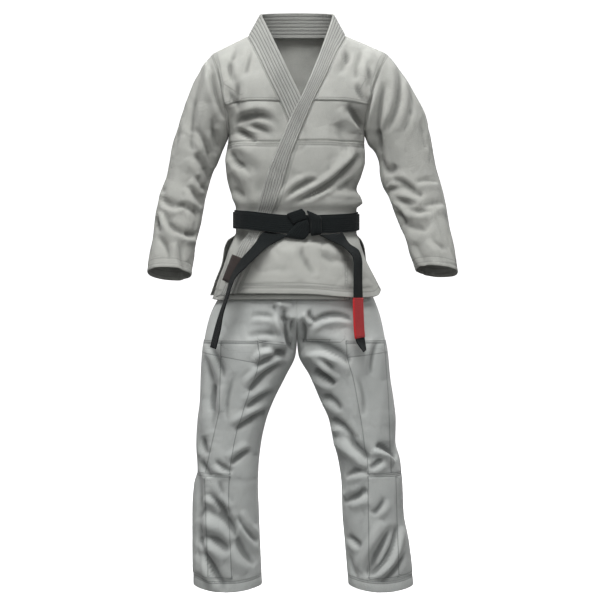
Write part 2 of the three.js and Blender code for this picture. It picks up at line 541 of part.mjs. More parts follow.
// A point of the jacket with its folds, and the direction out of the cloth there.
function jacketPoint(layer, u, v) {
  const low = Math.max(-1, u - shareStep);
  const high = Math.min(1, u + shareStep);
  const rise = v > 0 ? shareStep : levelStep;
  const top = v > 0 ? Math.min(1, v + rise) : Math.min(0, v + rise);
  const across = jacketForm(layer, high, v).sub(jacketForm(layer, low, v));
  const up = jacketForm(layer, u, top).sub(jacketForm(layer, u, v - rise));
  const out = across.cross(up).normalize();
  if (layer === "back") out.negate();
  const place = jacketForm(layer, u, v);
  const inside = smooth((1 - Math.abs(u)) / foldSideFade) * (v > 0 ? smooth((1 - v) / foldShoulderFade) : 1);
  const folds = layer === "back" ? backFolds : frontFolds;
  let push = inside * unpressed(place.z) * foldedBy(folds, place.x, place.z);
  if (layer === "under") {
    const tuck = tuckUnder(u, place.z);
    push = push * (1 - tuck / tuckAt(place.z)) - tuck;
  }
  return place.addScaledVector(out, push);
}
const jacketAt = (layer, x, z) => jacketPoint(layer, ...jacketPlace(layer, x, z));

// A sheet of points in rows, with the direction out of the cloth at each.
function sheetOf(rows, wraps = false) {
  const count = rows[0].length;
  const normals = rows.map((row, r) =>
    row.map((_, c) => {
      const before = wraps ? (c + count - 1) % count : Math.max(0, c - 1);
      const after = wraps ? (c + 1) % count : Math.min(count - 1, c + 1);
      const across = row[after].clone().sub(row[before]);
      const up = rows[Math.min(rows.length - 1, r + 1)][c].clone().sub(rows[Math.max(0, r - 1)][c]);
      return across.cross(up).normalize();
    }),
  );
  return { rows, normals, wraps };
}

// Turns a sheet's directions so that they point away from a line up through the given place.
function faceOut(sheet, x, y) {
  let sum = 0;
  sheet.rows.forEach((row, r) =>
    row.forEach((p, c) => {
      sum += (p.x - x) * sheet.normals[r][c].x + (p.y - y) * sheet.normals[r][c].y;
    }),
  );
  if (sum < 0) sheet.normals.flat().forEach((n) => n.negate());
  return sheet;
}

// Gives the corners that meet at a seam one shared direction.
function mitre(...corners) {
  const shared = point(0, 0, 0);
  corners.forEach(([sheet, r, c]) => shared.add(sheet.normals[r][c]));
  shared.normalize();
  corners.forEach(([sheet, r, c]) => sheet.normals[r][c].copy(shared));
}

// Draws one edge of a sheet back into the cloth, which leaves the gap at a seam.
function drawBack(sheet, edge, distance) {
  const { rows } = sheet;
  const [lastRow, lastColumn] = [rows.length - 1, rows[0].length - 1];
  const pull = (p, towards) => p.addScaledVector(towards.clone().sub(p).normalize(), distance);
  if (edge === "first row") rows[0].forEach((p, c) => pull(p, rows[1][c]));
  if (edge === "last row") rows[lastRow].forEach((p, c) => pull(p, rows[lastRow - 1][c]));
  if (edge === "first column") rows.forEach((row) => pull(row[0], row[1]));
  if (edge === "last column") rows.forEach((row) => pull(row[lastColumn], row[lastColumn - 1]));
}

// Copies part of a sheet, moved out along the cloth's own directions.
function layOn(sheet, rowRange, columnRange, lift) {
  const pick = (grid) =>
    grid.slice(rowRange[0], rowRange[1] + 1).map((row) => row.slice(columnRange[0], columnRange[1] + 1));
  const normals = pick(sheet.normals).map((row) => row.map((n) => n.clone()));
  const rows = pick(sheet.rows).map((row, r) =>
    row.map((p, c) => p.clone().addScaledVector(normals[r][c], lift)),
  );
  return { rows, normals, wraps: false };
}

// Closes two matching grids of points into one solid.
function solidBetween(outer, inner, wraps) {
  const [rowCount, columnCount] = [outer.length, outer[0].length];
  const positions = [...outer.flat(), ...inner.flat()].flatMap((p) => [p.x, p.y, p.z]);
  const back = rowCount * columnCount;
  const faces = [];
  const quad = (a, b, c, d) => faces.push(a, b, c, a, c, d);
  const index = (r, c) => r * columnCount + (c % columnCount);
  const spans = wraps ? columnCount : columnCount - 1;
  for (let r = 0; r < rowCount - 1; r += 1) {
    for (let c = 0; c < spans; c += 1) {
      const [a, b, d, e] = [index(r, c), index(r, c + 1), index(r + 1, c + 1), index(r + 1, c)];
      faces.push(a, b, d, a, d, e);
      faces.push(back + a, back + d, back + b, back + a, back + e, back + d);
    }
  }
  for (let c = 0; c < spans; c += 1) {
    const [a, b] = [index(0, c), index(0, c + 1)];
    const [d, e] = [index(rowCount - 1, c), index(rowCount - 1, c + 1)];
    quad(b, a, back + a, back + b);
    quad(d, e, back + e, back + d);
  }
  for (let r = 0; r < rowCount - 1 && !wraps; r += 1) {
    const [a, b] = [index(r, 0), index(r + 1, 0)];
    const [d, e] = [index(r, columnCount - 1), index(r + 1, columnCount - 1)];
    quad(a, b, back + b, back + a);
    quad(e, d, back + d, back + e);
  }
  return outwards(positions, faces);
}

// Joins loops of points, each the section of a strip, into one solid, closed round or capped at its ends.
function solidThrough(loops, closesRound = false) {
  const count = loops[0].length;
  const positions = loops.flat().flatMap((p) => [p.x, p.y, p.z]);
  const faces = [];
  const spans = closesRound ? loops.length : loops.length - 1;
  for (let r = 0; r < spans; r += 1) {
    const next = (r + 1) % loops.length;
    for (let c = 0; c < count; c += 1) {
      const d = (c + 1) % count;
      faces.push(r * count + c, r * count + d, next * count + d);
      faces.push(r * count + c, next * count + d, next * count + c);
    }
  }
  if (!closesRound) {
    capOf(loops[0]).forEach(([a, b, c]) => faces.push(c, b, a));
    const start = (loops.length - 1) * count;
    capOf(loops[loops.length - 1]).forEach(([a, b, c]) => faces.push(start + a, start + b, start + c));
  }
  return outwards(positions, faces);
}

// Triangles that fill one loop.
function capOf(loop) {
  const middle = loop.reduce((sum, p) => sum.add(p), point(0, 0, 0)).divideScalar(loop.length);
  const normal = point(0, 0, 0);
  loop.forEach((p, i) => {
    const q = loop[(i + 1) % loop.length];
    normal.add(p.clone().sub(middle).cross(q.clone().sub(middle)));
  });
  normal.normalize();
  const right = loop[0].clone().sub(middle).projectOnPlane(normal).normalize();
  const up = normal.clone().cross(right);
  const flat = loop.map((p) => {
    const away = p.clone().sub(middle);
    return new THREE.Vector2(away.dot(right), away.dot(up));
  });
  return THREE.ShapeUtils.triangulateShape(flat, []);
}

function outwards(positions, faces) {
  const corner = (i) => point(positions[3 * i], positions[3 * i + 1], positions[3 * i + 2]);
  let volume = 0;
  for (let i = 0; i < faces.length; i += 3) {
    volume += corner(faces[i]).dot(corner(faces[i + 1]).cross(corner(faces[i + 2])));
  }
  if (volume < 0) faces.reverse();
  const geometry = new THREE.BufferGeometry();
  geometry.setAttribute("position", new THREE.Float32BufferAttribute(positions, 3));
  geometry.setIndex(faces);
  return geometry;
}

const wallOf = (sheet, thickness) =>
  solidBetween(
    sheet.rows,
    sheet.rows.map((row, r) =>
      row.map((p, c) => p.clone().addScaledVector(sheet.normals[r][c], -thickness)),
    ),
    sheet.wraps,
  );

// A patch lies just above its panel.
const patchOn = (sheet, rowRange, columnRange, trim) => {
  const patch = layOn(sheet, rowRange, columnRange, patchGap + patchCloth);
  Object.entries(trim).forEach(([edge, distance]) => drawBack(patch, edge, distance));
  return wallOf(patch, patchCloth);
};

const colours = {
  jacket: new THREE.MeshStandardMaterial({ color: 0x8d8f89, roughness: 0.92 }),
  trousers: new THREE.MeshStandardMaterial({ color: 0x858984, roughness: 0.85 }),
  belt: new THREE.MeshStandardMaterial({ color: 0x0e1315, roughness: 0.8 }),
  bar: new THREE.MeshStandardMaterial({ color: 0xb01c1e, roughness: 0.8 }),
  label: new THREE.MeshStandardMaterial({ color: 0x231b19, roughness: 0.8 }),
};
const gi = new THREE.Group();
function add(name, geometry, material) {
  const mesh = new THREE.Mesh(geometry, material);
  mesh.name = name;
  gi.add(mesh);
}

// Rows of the jacket's panels: the skirt, the belt, the chest, and on to the shoulder.
const skirtLevels = range(skirtSteps, (i) => mix(jacketHem, ventTop, i / skirtSteps));
const lowerV = [...skirtLevels, ventTop, ...waistLevels, chestSeam].map((z) => z - pitLevel);
const armholeV = range(armholeSteps + 1, (i) => (1 - Math.cos((Math.PI * i) / armholeSteps)) / 2);
const upperV = [chestSeam - pitLevel, ...armholeV];

// The seam between a front and its lapel, as x for each level. The mirrored hidden one is less far across.
function lapelSeamX(layer, z) {
  const isOver = layer === "over";
  const share = isOver ? 1 : mix(1, hiddenLapelShare, smooth((hiddenLapelTop - z) / hiddenLapelRun));
  const seam = lapelMiddle(z) * share + lapelWidth * lapelSeamShare;
  return (isOver ? 1 : -1) * Math.min(seam, mix(neckHalf, seam, smooth(-z / neckRun)));
}

// u where the lapel's seam crosses a row, found by halving.
function seamU(layer, v) {
  let [low, high] = [-1, 1];
  for (let turn = 0; turn < 40; turn += 1) {
    const u = (low + high) / 2;
    const place = jacketForm(layer, u, v);
    if (place.x > lapelSeamX(layer, Math.min(0, place.z))) high = u;
    else low = u;
  }
  return (low + high) / 2;
}

// The side edge of the right front leaves the back skirt at the vent and hangs straight.
const underSideU = (v) => -1 + underSideShare * smooth((underSideTop - pitLevel - v) / underSideRun);

function frontSheet(layer, vs) {
  const sideU = layer === "over" ? () => 1 : underSideU;
  const rows = vs.map((v) => {
    const [seam, side] = [seamU(layer, v), sideU(v)];
    return range(frontColumns + 1, (c) => jacketPoint(layer, mix(seam, side, c / frontColumns), v));
  });
  return faceOut(sheetOf(rows), 0, 0);
}

function backShares(v) {
  const [right, left] = [true, false].map((isRight) => uOf(neckHalf / armholeX(isRight, Math.max(0, v))));
  return [
    ...range(shoulderColumns, (c) => mix(-1, -right, c / shoulderColumns)),
    ...range(neckColumns, (c) => mix(-right, left, c / neckColumns)),
    ...range(shoulderColumns + 1, (c) => mix(left, 1, c / shoulderColumns)),
  ];
}
const backSheet = (vs) =>
  faceOut(sheetOf(vs.map((v) => backShares(v).map((u) => jacketPoint("back", u, v)))), 0, 0);

const overLower = frontSheet("over", lowerV);
const overUpper = frontSheet("over", upperV);
const underLower = frontSheet("under", lowerV);
const underUpper = frontSheet("under", upperV);
const backLower = backSheet(lowerV);
const backUpper = backSheet(upperV);
const backLast = backUpper.rows[0].length - 1;

const centreOf = (ring) => ring.reduce((sum, p) => sum.add(p), point(0, 0, 0)).divideScalar(ring.length);

// Sleeves: the first ring is the armhole, and the rings after it turn into the sleeve's own section.
function sleeveSheet(isRight, table, folds) {
  const half = armholeSteps;
  const side = isRight ? -1 : 1;
  const hole = range(2 * half, (k) => {
    const v = k <= half ? armholeV[k] : armholeV[2 * half - k];
    return jacketForm(k <= half ? "over" : "back", side, v);
  });
  const rings = table.map((row, i) => {
    const outer = point(row.outerX, row.middleY, row.outerZ);
    const inner = point(row.innerX, row.middleY, row.innerZ);
    const centre = outer.clone().add(inner).multiplyScalar(0.5);
    const reach = outer.clone().sub(centre);
    const before = table[Math.max(0, i - 1)];
    const after = table[Math.min(table.length - 1, i + 1)];
    const along = point(
      (after.outerX + after.innerX - before.outerX - before.innerX) / 2,
      after.middleY - before.middleY,
      (after.outerZ + after.innerZ - before.outerZ - before.innerZ) / 2,
    );
    const front = reach.clone().cross(along).normalize();
    if (front.y > 0) front.negate();
    const become = smooth((i + 1) / sleeveTurning);
    return range(2 * half, (k) => {
      const angle = (Math.PI * k) / half;
      const round = centre.clone();
      const facing = Math.sin(angle);
      round.addScaledVector(reach, -Math.cos(angle));
      round.addScaledVector(front, row.depth * Math.sign(facing) * Math.abs(facing) ** sleeveSquareness);
      const place = hole[k].clone().lerp(round, mix(sleeveStart, 1, become)).lerp(round, become);
      const shown = smooth(facing * 2) * foldedBy(folds, place.x, place.z);
      const hidden = smooth(-facing * 2) * hiddenShare * foldedBy(folds, place.x, place.z + hiddenShift);
      const out = place.clone().sub(centre).normalize();
      return place.addScaledVector(out, shown + hidden);
    });
  });
  const first = hole.map((p) => point(p.x + side * armholeGap, p.y, p.z));
  return sheetOf([first, ...rings], true);
}
const sleeveRight = sleeveSheet(true, rightSleeveRows, rightSleeveFolds);
const sleeveLeft = sleeveSheet(false, leftSleeveRows, leftSleeveFolds);
for (const sleeve of [sleeveRight, sleeveLeft]) {
  const last = sleeve.rows.length - 1;
  const outwardsAt = sleeve.rows[last][0].clone().sub(centreOf(sleeve.rows[last]));
  if (outwardsAt.dot(sleeve.normals[last][0]) < 0) sleeve.normals.flat().forEach((n) => n.negate());
}

// The lapel and collar as one band: stations up the left front, round the neck, and down the right front.
const frontV = [...lowerV, ...upperV.slice(1)];
const lapelShares = range(2 * lapelChannels + 1, (i) => i / (2 * lapelChannels));
function lapelStation(layer, v) {
  const side = layer === "over" ? 1 : -1;
  const u = seamU(layer, v);
  const seam = jacketForm(layer, u, v);
  const [below, above] = [seam.z - lapelAhead, Math.min(0, seam.z + lapelAhead)];
  const slope = (lapelSeamX(layer, below) - lapelSeamX(layer, above)) / (2 * lapelAhead);
  const across = new THREE.Vector2(-side, slope * side).normalize();
  const stand = smooth(1 + seam.z / standRun);
  const top = point(side * collarSide.x, collarSide.y, collarSide.z);
  return lapelShares.map((share) => {
    const x = seam.x + across.x * lapelWidth * share;
    const z = seam.z + across.y * lapelWidth * share * side;
    const on = jacketAt(layer, x, Math.min(z, -shoulderEdge));
    on.z += Math.max(0, z + shoulderEdge);
    const upright = jacketPoint(layer, u, v).lerp(top, share);
    return on.lerp(upright, stand);
  });
}
function neckStation(i) {
  const top = backUpper.rows[backUpper.rows.length - 1];
  const seam = top[shoulderColumns + i];
  const angle = Math.acos(Math.max(-1, Math.min(1, seam.x / neckHalf)));
  const upper = point(
    collarSide.x * Math.cos(angle),
    collarSide.y + (neckDepth - collarRise) * Math.sin(angle),
    collarSide.z + collarRise * Math.sin(angle),
  );
  return lapelShares.map((share) => seam.clone().lerp(upper, share));
}
const lapelRowsOf = [
  ...frontV.map((v) => lapelStation("over", v)),
  ...range(neckColumns - 1, (i) => neckStation(neckColumns - 1 - i)),
  ...[...frontV].reverse().map((v) => lapelStation("under", v)),
];
const lapelBand = faceOut(sheetOf(lapelRowsOf), 0, -10);

// Seams share their directions, so that the walls on each side of them stay parallel.
const lowerCount = lowerV.length - 1;
const upperCount = upperV.length - 1;
frontV.forEach((v, i) => {
  const isLower = i <= lowerCount;
  const r = isLower ? i : i - lowerCount;
  const [over, under] = isLower ? [overLower, underLower] : [overUpper, underUpper];
  mitre([over, r, 0], [lapelBand, i, 0]);
  mitre([under, r, 0], [lapelBand, lapelRowsOf.length - 1 - i, 0]);
});
lowerV.forEach((v, r) => {
  if (v + pitLevel < ventTop) return;
  mitre([overLower, r, frontColumns], [backLower, r, backLast]);
  mitre([underLower, r, frontColumns], [backLower, r, 0]);
  [overLower, underLower].forEach((sheet) => sheet.normals[r][frontColumns].setY(0).normalize());
  [0, backLast].forEach((c) => backLower.normals[r][c].setY(0).normalize());
});
range(frontColumns + 1, (c) => {
  mitre([overLower, lowerCount, c], [overUpper, 0, c]);
  mitre([underLower, lowerCount, c], [underUpper, 0, c]);
});
range(backLast + 1, (c) => mitre([backLower, lowerCount, c], [backUpper, 0, c]));
mitre([overUpper, 0, frontColumns], [backUpper, 0, backLast]);
mitre([underUpper, 0, frontColumns], [backUpper, 0, 0]);
mitre([overUpper, 1, frontColumns], [backUpper, 1, backLast]);
mitre([underUpper, 1, frontColumns], [backUpper, 1, 0]);
for (const r of [0, 1]) {
  [overUpper, underUpper].forEach((sheet) => sheet.normals[r][frontColumns].setY(0).normalize());
  [0, backLast].forEach((c) => backUpper.normals[r][c].setY(0).normalize());
}
// A sleeve starts square to the armhole, so its first ring is offset towards the armhole's middle.
for (const sleeve of [sleeveLeft, sleeveRight]) {
  const ring = sleeve.rows[0];
  const middle = centreOf(ring);
  ring.forEach((p, k) => sleeve.normals[0][k].copy(p).sub(middle).setX(0).normalize());
}
// Along the shoulders every wall is offset straight down, and at the neck with the collar.
range(frontColumns + 1, (c) => {
  overUpper.normals[upperCount][c].set(0, 0, 1);
  underUpper.normals[upperCount][c].set(0, 0, 1);
});
range(shoulderColumns + 1, (c) => {
  backUpper.normals[upperCount][c].set(0, 0, 1);
  backUpper.normals[upperCount][backLast - c].set(0, 0, 1);
});
range(neckColumns - 1, (i) => {
  const station = frontV.length + neckColumns - 2 - i;
  mitre([backUpper, upperCount, shoulderColumns + 1 + i], [lapelBand, station, 0]);
});

const pullEdges = (sheet, ...edges) => edges.forEach((edge) => drawBack(sheet, edge, halfGap));
pullEdges(overLower, "first column", "last column", "last row");
pullEdges(underLower, "first column", "last column", "last row");
pullEdges(backLower, "first column", "last column", "last row");
pullEdges(overUpper, "first column", "last column", "first row", "last row");
pullEdges(underUpper, "first column", "last column", "first row", "last row");
pullEdges(backUpper, "first column", "last column", "first row", "last row");
drawBack(lapelBand, "first column", seamGap);

add("front_left_lower", wallOf(overLower, jacketCloth), colours.jacket);
add("front_left_upper", wallOf(overUpper, jacketCloth), colours.jacket);
add("front_right_lower", wallOf(underLower, jacketCloth), colours.jacket);
add("front_right_upper", wallOf(underUpper, jacketCloth), colours.jacket);
add("back_lower", wallOf(backLower, jacketCloth), colours.jacket);
add("back_upper", wallOf(backUpper, jacketCloth), colours.jacket);
add("sleeve_left", wallOf(sleeveLeft, jacketCloth), colours.jacket);
add("sleeve_right", wallOf(sleeveRight, jacketCloth), colours.jacket);

// The band's section: channels on its outer side, rounded edges, and a plain inner side.
const lapelLoops = lapelBand.rows.map((row, r) => {
  const outer = row.map((p, i) => {
    const isEdge = i === 0 || i === row.length - 1;
    const groove = i % 2 === 0 ? channelDepth : 0;
    const height = isEdge ? lapelThick * lapelEdge : lapelThick - groove;
    return p.clone().addScaledVector(lapelBand.normals[r][i], height - jacketCloth);
  });
  const inner = [row.length - 1, Math.floor(row.length / 2), 0].map((i) =>
    row[i].clone().addScaledVector(lapelBand.normals[r][i], -jacketCloth),
  );
  return [...outer, ...inner];
});
add("lapel_and_collar", solidThrough(lapelLoops), colours.jacket);

// Shoulder reinforcements, on the fronts down to the breast and on the back down to the shoulder blades.
const yokeStart = 4;
const backYokeStart = 6;
const yokeTrim = { "first column": 1, "last column": 2.5, "last row": 1 };
const yokeOn = (sheet) => patchOn(sheet, [yokeStart, upperCount], [0, frontColumns], yokeTrim);
add("yoke_front_left", yokeOn(overUpper), colours.jacket);
add("yoke_front_right", yokeOn(underUpper), colours.jacket);
const backYokeTrim = { "first column": 4, "last column": 4, "last row": 2 };
const backYoke = patchOn(backUpper, [backYokeStart, upperCount], [0, backLast], backYokeTrim);
add("yoke_back", backYoke, colours.jacket);

// A point of a leg's outer surface: face is -1 in front and 1 behind, share 0 at its inner edge and 1 outside.
function legForm(leg, side, face, share, z) {
  const [outer, inner] = [leg.outer(z), Math.max(0, leg.inner(z))];
  const depth = face < 0 ? leg.front(z) : leg.back(z);
  const bend = 2 / squareness;
  const arc = (value) => Math.max(0, 1 - Math.abs(value) ** bend) ** (1 / bend);
  const round = [mix(inner, outer, share), depth * arc(2 * share - 1)];
  const hip = [outer * share, depth * arc(share)];
  const joined = smooth((z - crotchLevel) / (forkLevel - crotchLevel));
  const x = mix(round[0], hip[0], joined) + halfGap;
  return point(side * x, face * mix(round[1], hip[1], joined), z);
}

function legPoint(leg, side, face, share, z, folds) {
  const place = legForm(leg, side, face, share, z);
  const across = legForm(leg, side, face, Math.min(1, share + shareStep), z);
  across.sub(legForm(leg, side, face, Math.max(0, share - shareStep), z));
  const up = legForm(leg, side, face, share, z + levelStep);
  up.sub(legForm(leg, side, face, share, z - levelStep));
  const out = across.cross(up).normalize();
  if (out.y * face < 0) out.negate();
  const inHips = smooth((foldHipTop - z) / foldHipFade);
  const inside = smooth(share / foldLegFade) * smooth((1 - share) / foldLegFade) * inHips;
  const isFront = face < 0;
  const push = isFront ? foldedBy(folds, place.x, z) : hiddenShare * foldedBy(folds, place.x, z + hiddenShift);
  const drop = hemDrop * (1 - (2 * share - 1) ** 2) * (isFront ? 1 : -hemRise);
  const low = smooth((kneeSeam - z) / (kneeSeam - trouserHem));
  return place.addScaledVector(out, inside * push).add(point(0, 0, -drop * low));
}

const legLevels = [
  ...range(hipSteps, (i) => mix(waistbandBottom - seamGap, thighSeam, i / hipSteps)),
  ...range(thighSteps, (i) => mix(thighSeam, kneeSeam, i / thighSteps)),
  ...range(shinSteps + 1, (i) => mix(kneeSeam, trouserHem, i / shinSteps)),
];
const thighRow = hipSteps;
const kneeRow = hipSteps + thighSteps;

function legShares(seam) {
  const angle = Math.acos(1 - 2 * seam);
  return range(legColumns + 1, (c) => {
    const turned = c <= seamColumn
      ? (angle * c) / seamColumn
      : mix(angle, Math.PI, (c - seamColumn) / (legColumns - seamColumn));
    return (1 - Math.cos(turned)) / 2;
  });
}

for (const [word, side, table, folds] of [
  ["left", 1, leftLegRows, leftLegFolds],
  ["right", -1, rightLegRows, rightLegFolds],
]) {
  const leg = readers(table);
  const halfOf = (face) => {
    const rows = legLevels.map((z) => {
      const shares = legShares(leg.seam(z));
      return shares.map((share) => legPoint(leg, side, face, share, z, folds));
    });
    return faceOut(sheetOf(rows), side * legMiddle, 0);
  };
  const [front, back] = [halfOf(-1), halfOf(1)];
  legLevels.forEach((z, r) => {
    const isSplit = z < crotchLevel;
    mitre([front, r, legColumns], [back, r, legColumns]);
    if (isSplit) mitre([front, r, 0], [back, r, 0]);
    for (const sheet of [front, back]) {
      const [inner, outer] = [sheet.normals[r][0], sheet.normals[r][legColumns]];
      const away = Math.sign(sheet.rows[r][seamColumn].y) * halfGap;
      outer.setY(0).normalize();
      inner[isSplit ? "setY" : "setX"](0).normalize();
      sheet.rows[r][legColumns].y += away;
      if (isSplit) sheet.rows[r][0].y += away;
    }
  });
  add("leg_front_" + word, wallOf(front, trouserCloth), colours.trousers);
  add("leg_back_" + word, wallOf(back, trouserCloth), colours.trousers);
  const patchTrim = { "first column": 0.5, "last column": 3, "first row": 1, "last row": 1 };
  const patchColumns = [seamColumn, legColumns];
  const shinEnd = kneeRow + shinPatchSteps;
  add("thigh_patch_" + word, patchOn(front, [thighRow, kneeRow], patchColumns, patchTrim), colours.trousers);
  add("shin_patch_" + word, patchOn(front, [kneeRow, shinEnd], patchColumns, patchTrim), colours.trousers);
}

// Directions out of the waist, which is a little wider than deep.
const waistOut = (place) => point(place.x / waistHalf, place.y / waistDeep, 0).normalize();
const beforeShares = range(2 * beltColumns, (i) => -1 + i / beltColumns);

// The waistband is one ring inside the jacket: close to its back, and clear of the tucked front.
const bandRings = waistLevels.slice(0, bandRows).map((z) => {
  const behind = backShares(0).slice(1).reverse().map((u) => ["back", u]);
  const before = beforeShares.map((u) => ["over", u]);
  return [...behind, ...before].map(([layer, u]) => {
    const place = jacketForm(layer, u, z - pitLevel).setZ(z);
    const forward = layer === "back" ? 0 : smooth((1 - Math.abs(u)) / tuckRun);
    const clear = mix(bandClear, bandTuck, forward);
    return place.addScaledVector(waistOut(place), -(jacketCloth + clear));
  });
});
add("waistband", wallOf(faceOut(sheetOf(bandRings, true), 0, 0), trouserCloth), colours.trousers);

// Sections of a flat strap, grown by the given room all round.
function strapSections(rows, room = 0) {
  return rows.map((row, i) => {
    const here = point(row.x, row.y, row.z);
    const [before, after] = [rows[Math.max(0, i - 1)], rows[Math.min(rows.length - 1, i + 1)]];
    const along = point(after.x - before.x, after.y - before.y, after.z - before.z);
    const side = point(row.edgeX, row.edgeY, row.edgeZ);
    const face = side.clone().cross(along).setLength(beltThick / 2 + room);
    side.setLength(side.length() + room);
    return [[1, 1], [-1, 1], [-1, -1], [1, -1]].map(([a, b]) =>
      here.clone().addScaledVector(side, a).addScaledVector(face, b),
    );
  });
}

// More rows of a tail, on a smooth curve through its table.
function smoothTail(table) {
  const read = readers(table.map((row, t) => ({ ...row, t })), "t");
  return range(tailSteps * (table.length - 1) + 1, (i) => {
    const at = Object.entries(read).map(([name, column]) => [name, column(i / tailSteps)]);
    return Object.fromEntries(at);
  });
}

// The belt's two turns.
const beltMiddle = readers(beltLevels, "u");
for (const wrap of beltWraps) {
  const behind = beforeShares.map((u) => ["back", -u]);
  const before = beforeShares.map((u) => ["over", u]);
  const loops = [...behind, ...before].map(([layer, u]) => {
    const isBack = layer === "back";
    const middle = (isBack ? beltMiddle.back : beltMiddle.front)(u) + wrap.shift;
    const place = jacketForm(layer, u, waistLevels[1] - pitLevel);
    const { from, to, run, height } = overLapel;
    const crossing = isBack ? 0 : smooth((place.x - from) / run) * smooth((to - place.x) / run);
    const lift = wrap.lift + height * crossing;
    const out = waistOut(place);
    return [[1, 0], [1, 1], [-1, 1], [-1, 0]].map(([up, away]) => {
      const corner = place.clone().addScaledVector(out, lift + away * beltThick);
      return corner.setZ(middle + (up * beltWidth) / 2);
    });
  });
  add(wrap.name, solidThrough(loops, true), colours.belt);
}

for (const { name, back, face, outline } of knotFolds) {
  const corners = outline.map(([x, z]) => point(x, back, z));
  const centre = centreOf(corners);
  const loops = knotRounding.map(({ rise, inset }) =>
    corners.map((corner) => centre.clone().lerp(corner, inset).setY(mix(back, face, rise))),
  );
  add(name, solidThrough(loops), colours.belt);
}

// The tails, with the rank bar as a sleeve round the left one.
const [rightTail, leftTail] = [smoothTail(rightTailRows), smoothTail(leftTailRows)];
add("belt_tail_right", solidThrough(strapSections(rightTail)), colours.belt);
add("belt_tail_left", solidThrough(strapSections(leftTail)), colours.belt);
const barAround = (room) => strapSections(leftTail, room).slice(barFrom * tailSteps, barTo * tailSteps + 1);
add("rank_bar", solidBetween(barAround(seamGap + barWall), barAround(seamGap), true), colours.bar);

// The bare patch near the end of the lapel.
const labelRows = [1, 3];
const labelColumns = [6, 13];
const labelSheet = layOn(lapelBand, labelRows, labelColumns, lapelThick - jacketCloth + seamGap + labelThick);
add("lapel_patch", wallOf(labelSheet, labelThick), colours.label);

export default gi;
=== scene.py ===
# %% [markdown]
# # A jiu-jitsu gi, filled out as if it were worn
# The suit is a jacket of heavy pearl weave, trousers of smoother twill, and a stitched cotton belt. Every
# piece is a thin shell of cloth, drawn as rows and columns of points that numpy works out all at once. The
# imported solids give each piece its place, and the shells that stand for them carry the folds, the sewing and
# the weave.

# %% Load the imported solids
import math

import bmesh
import bpy
import numpy as np
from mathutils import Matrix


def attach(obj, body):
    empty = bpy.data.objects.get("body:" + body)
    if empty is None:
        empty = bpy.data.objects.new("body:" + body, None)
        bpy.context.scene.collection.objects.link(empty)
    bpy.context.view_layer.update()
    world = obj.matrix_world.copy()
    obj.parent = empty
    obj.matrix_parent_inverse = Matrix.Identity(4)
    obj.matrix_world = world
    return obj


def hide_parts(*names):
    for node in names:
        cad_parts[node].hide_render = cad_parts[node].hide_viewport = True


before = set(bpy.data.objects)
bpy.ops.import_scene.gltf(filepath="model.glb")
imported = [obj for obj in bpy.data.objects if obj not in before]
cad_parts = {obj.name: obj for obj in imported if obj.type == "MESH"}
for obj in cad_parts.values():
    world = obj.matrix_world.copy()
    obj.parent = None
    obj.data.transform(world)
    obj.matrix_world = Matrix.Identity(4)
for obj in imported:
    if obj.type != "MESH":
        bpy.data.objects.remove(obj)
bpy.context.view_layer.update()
MM = 0.001
print("solids:", len(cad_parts))

# %% [markdown]
# The camera comes first, so that each later step can be looked at. The photograph looks straight at the
# chest from about 4.5 metres, and 1.5 metres fit across it there. A long lens keeps the sleeves and the
# chest in scale.

# %% Place the camera
VIEW_DISTANCE = 4.5
VIEW_WIDTH = 1.5
VIEW_MIDDLE = (0.0075, -0.660)
SENSOR = 36.0

lens = bpy.data.cameras.new("portrait lens")
lens.sensor_width = SENSOR
lens.lens = SENSOR * VIEW_DISTANCE / VIEW_WIDTH
camera = bpy.data.objects.new("camera", lens)
camera.location = (VIEW_MIDDLE[0], -VIEW_DISTANCE, VIEW_MIDDLE[1])
camera.rotation_euler = (math.radians(90), 0, 0)
bpy.context.collection.objects.link(camera)
bpy.context.scene.camera = camera
print("lens", round(lens.lens, 1), "mm")

# %% [markdown]
# The sizes are those of the cut cloth, in millimetres from the base of the neck. A table keeps one named
# column for each measure, and a curve reads it at any level. The curve is a cubic whose slopes are the
# harmonic means of the slopes on both sides, so that it never swells past the rows, as a fair line on a
# pattern doesn't.


# %% Helpers for tables and curves
def table(columns, *rows):
    """Named columns of numbers, one row after another."""
    names = columns.split()
    return {name: np.array([row[i] for row in rows], float) for i, name in enumerate(names)}


def smooth(value):
    """0 below 0, 1 above 1, and an S-curve between: 3 v squared - 2 v cubed."""
    v = np.clip(value, 0, 1)
    return v * v * (3 - 2 * v)


def mix(a, b, share):
    """a at share 0, b at share 1, and a straight line between."""
    return a + (b - a) * share


def unit(vectors):
    """The same directions at length 1."""
    return vectors / np.maximum(np.linalg.norm(vectors, axis=-1, keepdims=True), 1e-9)


def curve(rows, column, key="z"):
    """Reads one column at any value of the key, on a cubic that never overshoots the rows."""
    order = np.argsort(rows[key])
    at, value = rows[key][order], rows[column][order]
    steep = np.diff(value) / np.diff(at)
    before, after = np.append(steep[0], steep), np.append(steep, steep[-1])
    same_way = before * after > 0
    slope = np.where(same_way, 2 * before * after / np.where(same_way, before + after, 1), 0)

    def read(level):
        here = np.clip(level, at[0], at[-1])
        i = np.clip(np.searchsorted(at, here, side="right") - 1, 0, len(at) - 2)
        span = at[i + 1] - at[i]
        s = (here - at[i]) / span
        ends = (1 + 2 * s) * (1 - s) ** 2 * value[i] + s**2 * (3 - 2 * s) * value[i + 1]
        return ends + span * (s * (1 - s) ** 2 * slope[i] - s**2 * (1 - s) * slope[i + 1])

    return read


def curves(rows, key="z"):
    """One such reader for each column but the key."""
    return {name: curve(rows, name, key) for name in rows if name != key}


print("a quarter of the way, the S-curve stands at", smooth(0.25))

